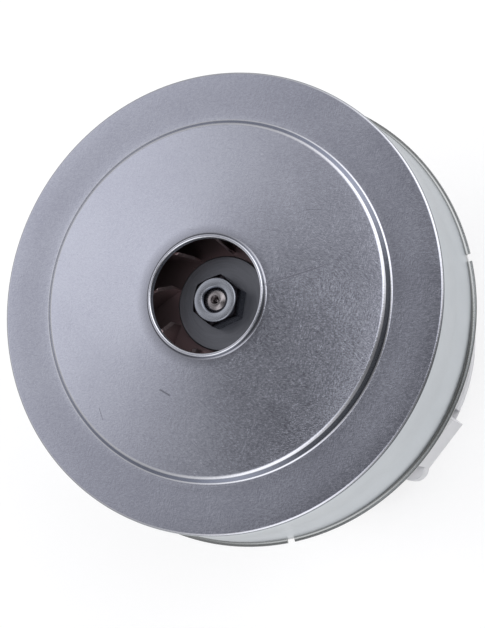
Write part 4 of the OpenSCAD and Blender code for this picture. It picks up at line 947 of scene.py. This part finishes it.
def makeBearing(end, b):
    outer, inner, ball = b[end]
    race, soft, lip, steps = (outer - inner) * b["raceShare"], b["soft"], b["lip"], b["steps"]
    pitch, grooveR = (outer + inner) / 2, ball / 2 + b["play"]
    low, high = boxMm(f"{end}_bearing_outer")
    middle = (low.z + high.z) / 2

    def chamfered(r0, z0, r1, z1, r2, z2):
        # the corner r1, z1 between two neighbours, cut and slightly rounded
        return [(r1 + (r0 - r1) * k + (r2 - r1) * m, z1 + (z0 - z1) * k + (z2 - z1) * m)
                for k, m in b["chamfer"]]

    edge = outer - race
    turn = math.degrees(math.acos((edge - pitch) / grooveR))
    line = [(edge, low.z + lip), (edge + lip, low.z)]
    line += chamfered(outer - soft, low.z, outer, low.z, outer, low.z + soft)
    line += chamfered(outer, high.z - soft, outer, high.z, outer - soft, high.z)
    line += [(edge + lip, high.z), (edge, high.z - lip)] + arc(pitch, middle, grooveR, turn, -turn, 14)
    standIn(f"{end}_bearing_outer", Build().lathe(line, steps), sharp=30)
    edge = inner + race
    turn = math.degrees(math.acos((pitch - edge) / grooveR))
    line = chamfered(inner, low.z + soft, inner, low.z, inner + soft, low.z)
    line += [(edge - lip, low.z), (edge, low.z + lip)] + arc(pitch, middle, grooveR, 180 + turn, 180 - turn, 14)
    line += [(edge, high.z - lip), (edge - lip, high.z)]
    line += chamfered(inner + soft, high.z, inner, high.z, inner, high.z - soft)
    standIn(f"{end}_bearing_inner", Build().lathe(line, steps), sharp=30)
    plates = Build()
    a, c = inner + race + b["shieldGap"], outer - race
    flat, rib, deep = b["shieldRib"]
    plate = [(a, 0.0), (a + flat, 0.0), (a + rib, deep), (c - rib, deep), (c - flat, 0.0), (c, 0.0),
             (c, b["shield"]), (a, b["shield"])]
    for base, up in ((low.z + b["shieldInset"], 1), (high.z - b["shieldInset"], -1)):
        plates.lathe([(r, base + up * z) for r, z in plate][::up], steps)
    standIn(f"{end}_bearing_shields", plates, sharp=25)
    balls = Build()
    for k in range(b["balls"]):
        one = Build().lathe([(0 if i in (0, 20) else ball / 2 * math.sin(math.pi * i / 20),
                              middle - ball / 2 * math.cos(math.pi * i / 20)) for i in range(21)], 32, closed=False)
        one.points = [(x + pitch, y, z) for x, y, z in one.points]
        balls.join(one.turned(math.tau * k / b["balls"]))
    standIn(f"{end}_bearing_balls", balls, sharp=60)
    softened(f"{end}_bearing_cage", b["cageEdge"])


makeBearing("front", bearings)
makeBearing("rear", bearings)
print("bearings made")


# Screws: pan heads with a cross recess, rolled threads and a short point. Places are radius and angle

screwShape = {"headShare": 0.95, "headHigh": 0.62, "crown": 0.35, "recessLong": 0.55, "recessWide": 0.12,
              "recessDeep": 0.34, "recessLean": 0.8, "headTurns": (48, 60, 72, 82, 90), "neck": 0.35,
              "pitchShare": 0.19, "threadShare": 0.09, "threadAt": (0.42, 0.58, 0.98), "threadEnd": 0.5,
              "pointHigh": 0.35, "pointWide": 0.2, "pointFlat": 0.04}
holderHole = (math.hypot(49.6, 11.5), math.degrees(math.atan2(-11.5, 49.6)))
screwSets = {
    "diffuser_screws": dict(d=2.5, seat=98.2, up=1, places=[(46.0, 15 + 120 * k) for k in range(3)]),
    "retainer_screws": dict(d=2.5, seat=93.2, up=1, places=[(14.4, 45), (14.4, 225)]),
    "stator_screws": dict(d=4.0, seat=42.7, up=-1, places=[(32.5, 0), (32.5, 180)]),
    "bracket_screws": dict(d=3.0, seat=14.3, up=-1, places=[(51.5, a) for a in (50, 130, 230, 310)]),
    "holder_screws": dict(d=2.5, seat=23.3, up=1, places=[(holderHole[0], a + holderHole[1]) for a in (0, 180)]),
}


def crossReach(angle, long, wide):
    # how far a plus-shaped recess reaches from its middle in one direction
    c, s = abs(math.cos(angle)) + 1e-9, abs(math.sin(angle)) + 1e-9
    return max(min(long / c, wide / s), min(wide / c, long / s))


def oneScrew(d, length, m):
    # head above z = 0, shank below
    headR, headH = d * m["headShare"], d * m["headHigh"]
    long, wide, deep = d * m["recessLong"], d * m["recessWide"], d * m["recessDeep"]
    corner = math.degrees(math.atan2(wide, long))
    angles = sorted({round((90 * q + a) % 360, 4) for q in range(4)
                     for a in (0, corner, corner + 0.3, 22, 34, 45, 56, 68, 90 - corner - 0.3, 90 - corner)})
    side = [(headR * math.sin(math.radians(a)), headH - headH * m["crown"] * (1 - math.cos(math.radians(a))))
            for a in m["headTurns"]]
    side += [(headR, headH * 0.12), (headR - 0.06 * d, 0.0), (d / 2, 0.0)]
    pitch, root = d * m["pitchShare"], d / 2 - d * m["threadShare"]
    z = -m["neck"] * d
    while z - pitch > -length + m["threadEnd"] * d:
        side += [(d / 2, z)] + [(r, z - pitch * down) for r, down in zip((root, root, d / 2), m["threadAt"])]
        z -= pitch
    side += [(root, -length + m["pointHigh"] * d), (d * m["pointWide"], -length + m["pointFlat"]), (0, -length)]
    build = Build()
    for angle in map(math.radians, angles):
        out = crossReach(angle, long, wide)
        recess = [(0, headH - deep), (out * m["recessLean"], headH - deep), (out, headH - 0.02 * d)]
        build.points += [polar(r, angle, h) for r, h in recess + side]
    rows = len(recess + side)
    for a, e, c, b in quads(len(angles), rows, closed=False):
        row = a % rows
        build.faces.append((a, b, c) if row == 0 else (a, b, e) if row == rows - 2 else (a, b, c, e))
    return build


def makeScrews(node, w, m):
    low, high = boxMm(node)
    length = w["seat"] - low.z if w["up"] > 0 else high.z - w["seat"]
    build = Build()
    for k, (r, turn) in enumerate(w["places"]):
        one = oneScrew(w["d"], length, m).turned(math.radians(37 * k + 11))  # no two heads stand alike
        one.points = [(x + r, y * w["up"], w["seat"] + z * w["up"]) for x, y, z in one.points]
        build.join(one.turned(math.radians(turn)))
    standIn(node, build, sharp=28)


for node, settings in screwSets.items():
    makeScrews(node, settings, screwShape)
print("screws made")


# Commutator: single bars with parallel gaps, and the winding's wires on their risers

commutatorShape = {"bars": 22, "gap": 0.5, "core": 7.6, "r": 11.5, "riser": 13.7, "riserZ": 33.5, "soft": 0.25,
                   "wireR": 0.36, "wireIn": 0.55, "steps": 4, "discEdge": 0.12}


def makeCommutator(c):
    low, high = boxMm("commutator_bars")
    core, r, riser, z, soft, steps = (c[key] for key in ("core", "r", "riser", "riserZ", "soft", "steps"))
    line = [(core, low.z), (r - soft, low.z), (r, low.z + soft), (r, z - 0.3), (r + 0.1, z - 0.08), (r + 0.3, z),
            (riser - soft, z), (riser, z + soft), (riser, high.z - soft), (riser - soft, high.z), (core, high.z)]
    # a wire lies over each riser and is pressed into it
    x, middle = riser - c["wireIn"], (z + high.z) / 2
    wire = [(x - 2.2, 0.15, high.z + 0.35), (x - 1.0, 0.1, high.z + 0.3), (x - 0.2, 0.0, high.z + 0.1),
            (x + 0.12, -0.02, middle + 0.3), (x + 0.14, -0.02, middle - 0.2), (x - 0.1, 0.0, z - 0.1)]
    bars, wires = Build(), Build()
    rows = len(line)
    for bar in range(c["bars"]):
        turn = math.tau * bar / c["bars"]
        one = Build()
        for k in range(steps + 1):
            one.points += [polar(out, (math.pi / c["bars"] - c["gap"] / 2 / out) * (2 * k / steps - 1), h)
                           for out, h in line]
        one.faces = quads(steps + 1, rows, around=False)
        one.faces += [tuple(reversed(range(rows))), tuple(steps * rows + i for i in range(rows))]
        bars.join(one.turned(turn))
        wires.join(Build().sweep(wire, c["wireR"]).turned(turn))
    standIn("commutator_bars", bars, sharp=30)
    makePiece("commutatorWires", wires, "copper_winding", "rotor", sharp=60)
    softened("rotor_end_discs", c["discEdge"])


makeCommutator(commutatorShape)
print("commutator made")


# Brush springs, which shorten as the brush moves out, and the leads between coils and brush terminals

springShape = {"wire": 0.6, "r": 2.5, "turns": 8, "start": 41.6, "end": 53.7, "z": 25.0, "keep": 0.5, "closer": 0.035}


def makeSpring(node, away, m):
    path, steps = [], m["turns"] * 20
    for k in range(steps + 1):
        share, a = k / steps, math.tau * k / 20
        eased = share - m["closer"] * math.sin(math.tau * share)  # the end turns lie closer together
        x = m["start"] + m["wire"] / 2 + (m["end"] - m["start"] - m["wire"]) * eased
        path.append((x, m["r"] * math.cos(a), m["z"] + m["r"] * math.sin(a)))
    build = Build().sweep(path, m["wire"] / 2)
    piece = standIn(node, build if away > 0 else build.turned(math.pi), sharp=60)
    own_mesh(piece)


leadRoute = {
    "points": [(23.2, 29.6, 37.6), (26.4, 29.5, 37.8), (30, 28.4, 38), (33.8, 26, 38.2), (37.4, 22.2, 38.4),
               (40.8, 17.6, 38.6), (44, 12.8, 38.7), (46.8, 8.4, 38.8), (49.4, 4.8, 38.8), (51.6, 2.6, 38.8),
               (53.4, 1.9, 38.7)],
    # radii along the crimped end: its mouths, its barrel and the waist where it is pressed
    "r": 0.98, "crimp": [0.9, 1.0, 1.0, 0.72, 0.72, 1.0, 1.0, 0.9], "flat": 0.8,
}


def smoothLine(points, steps):
    # a smooth curve through the points
    made = []
    last = len(points) - 1
    for i in range(last):
        p0, p1, p2, p3 = (Vector(points[min(max(i + k, 0), last)]) for k in (-1, 0, 1, 2))
        for k in range(steps):
            t = k / steps
            made.append(0.5 * (2 * p1 + (p2 - p0) * t + (2 * p0 - 5 * p1 + 4 * p2 - p3) * t * t
                               + (3 * p1 - p0 - 3 * p2 + p3) * t ** 3))
    return made + [Vector(points[-1])]


def makeLeads(m):
    cover, crimps = Build(), Build()
    path = smoothLine(m["points"], 5)
    cut = len(path) - len(m["crimp"])
    for turn in (0.0, math.pi):
        cover.join(Build().sweep(path[:cut + 1], m["r"], 14).turned(turn))
        crimps.join(Build().sweep(path[cut:], m["crimp"], 14, flat=m["flat"]).turned(turn))
    standIn("coil_leads", cover, sharp=50)
    makePiece("leadCrimps", crimps, "tinned_brass", "housing", sharp=40)


makeSpring("brush_spring_a", 1, springShape)
makeSpring("brush_spring_b", -1, springShape)
makeLeads(leadRoute)
print("springs and leads made")


# The remaining CAD solids take their finish in place

for node, source in frame["nodes"].items():
    if not source.data.materials:
        source.data.materials.append(skins[slotOf[node]])
    for k in range(len(source.data.materials)):
        source.data.materials[k] = skins[slotOf[node]]
print("finishes given")


# Studio: pale floor, two soft lamps, and a surround that is bright at the image's left

studio = {
    "floorSize": 12.0, "floorPaint": (0.8, 0.8, 0.8, 1), "floorRough": 0.9, "floorGlow": 1.2, "floorShare": 0.55,
    # in mirrored rays the floor glows, bright near the object and dim far off: a painted reflection, not a lamp
    "floorWhite": (1.1, 1.4), "mirroredShare": 0.78, "floorNear": 0.2, "floorFar": 0.5, "floorClose": 0.88,
    "floorDistant": 0.09, "white": (1.0, 1.0, 1.0),
    # soft panels of light around the point overhead, as turn in degrees from the picture's right, and level
    "panels": [(0, 0.3), (14, 0.9), (30, 1.6), (52, 1.65), (75, 1.0), (92, 0.58), (110, 0.5), (130, 0.56),
               (180, 0.56), (200, 0.52), (225, 0.45), (242, 0.7), (258, 1.3), (280, 1.25), (296, 0.66),
               (312, 0.28), (338, 0.14), (350, 0.18), (360, 0.3)],
    "tint": (0.985, 0.99, 1.03),
    # a slow change from dark to bright where the cover's face mirrors the ceiling
    "ceiling": (-0.45, 0.15), "ceilingFrom": 0.32, "ceilingTo": 0.47, "slopeSide": (-0.88, 0.48),
    "slopeMiddle": 0.317, "slopeLevel": 0.366, "slope": 1.8, "slopeRange": (0.06, 0.98),
    # the room behind the panels, darkest towards the picture's lower right
    "roomTop": (0.2, 0.12), "roomDim": 0.15, "roomDark": 0.73, "darkSide": (0.91, -0.41), "darkFrom": (0.35, 0.7),
    "lamps": [((-0.75, -0.55, 1.15), 0.9, 7.0), ((0.65, 0.75, 1.1), 0.9, 5.0)], "lampTarget": (0, 0, 0.06),
}


def makeWorld(s):
    world = bpy.data.worlds.new("studio")
    bpy.context.scene.world = world
    world.use_nodes = True
    tree = world.node_tree
    tree.nodes.clear()
    bench = Bench(tree)
    x, y, z = bench.parts(bench.node("ShaderNodeTexCoord", out="Generated"))
    seen, glass = bench.rays("Camera", "Transmission")
    across = x * imageRight.x + y * imageRight.y
    upward = x * imageUp.x + y * imageUp.y
    panels = bench.node("ShaderNodeValToRGB", {"stops": [(a / 360, level / 2) for a, level in s["panels"]]},
                        Fac=(upward.turnFrom(across) / math.tau + 1).fraction()) * 2
    off = reach(across - s["ceiling"][0], upward - s["ceiling"][1])
    beyond = off.above((s["ceilingFrom"] + s["ceilingTo"]) / 2, s["ceilingTo"] - s["ceilingFrom"])
    slope = across * s["slopeSide"][0] + upward * s["slopeSide"][1] - s["slopeMiddle"]
    ceiling = (slope * s["slope"] + s["slopeLevel"]).limited(*s["slopeRange"])
    room = 1 - z.above(*s["roomTop"])
    toDark = (across * s["darkSide"][0] + upward * s["darkSide"][1]).above(*s["darkFrom"])
    level = (panels * beyond + ceiling * (1 - beyond)) * (1 - room * (s["roomDim"] + s["roomDark"] * toDark))
    glow = bench.mix(seen.most(glass), bench.scaled(bench.joined(level, level, level), s["tint"]), s["white"])
    back = tree.nodes.new("ShaderNodeBackground")
    tree.links.new(glow.socket, back.inputs["Color"])
    end = tree.nodes.new("ShaderNodeOutputWorld")
    tree.links.new(back.outputs[0], end.inputs[0])


def makeFloor(s):
    mesh = bpy.data.meshes.new("floor")
    half = s["floorSize"] / 2
    mesh.from_pydata([(-half, -half, 0), (half, -half, 0), (half, half, 0), (-half, half, 0)], [], [(0, 1, 2, 3)])
    floor = linked("floor", mesh)
    made, bench, skin = newFinish("floorPaint", Roughness=s["floorRough"], Specular_IOR_Level=0.0,
                                  Base_Color=s["floorPaint"])
    tree = bench.tree
    distance = reach(*bench.parts(bench.place())[:2])
    seen, glass, glossy = bench.rays("Camera", "Transmission", "Glossy")
    # painted reflection: the floor's glow as metal sees it, bright near the object and fading further off
    fade = distance.above((s["floorNear"] + s["floorFar"]) / 2, s["floorFar"] - s["floorNear"])
    reflected = s["floorClose"] - fade * (s["floorClose"] - s["floorDistant"])
    plain = seen.most(glass)
    level = plain * s["floorGlow"] + (1 - plain) * glossy * reflected
    shadowless = distance.above(*s["floorWhite"])  # far off the floor is plain white
    share = plain * (s["floorShare"] + (1 - s["floorShare"]) * shadowless)
    share = share + (1 - plain) * glossy * s["mirroredShare"]
    lit = tree.nodes.new("ShaderNodeEmission")
    both = tree.nodes.new("ShaderNodeMixShader")
    for source, socket in ((level.socket, lit.inputs["Color"]), (share.socket, both.inputs[0]),
                           (skin.outputs[0], both.inputs[1]), (lit.outputs[0], both.inputs[2]),
                           (both.outputs[0], tree.nodes["Material Output"].inputs[0])):
        tree.links.new(source, socket)
    mesh.materials.append(made)


def makeLamps(s):
    for place, size, power in s["lamps"]:
        lamp = bpy.data.lights.new("lamp", "AREA")
        lamp.shape = "DISK"
        lamp.size = size
        lamp.energy = power
        holder = linked("lamp", lamp)
        holder.location = place
        holder.rotation_euler = (Vector(s["lampTarget"]) - Vector(place)).to_track_quat("-Z", "Y").to_euler()
        holder.visible_glossy = False


bpy.context.scene.view_settings.view_transform = "Standard"
makeWorld(studio)
makeFloor(studio)
makeLamps(studio)
print("studio made")
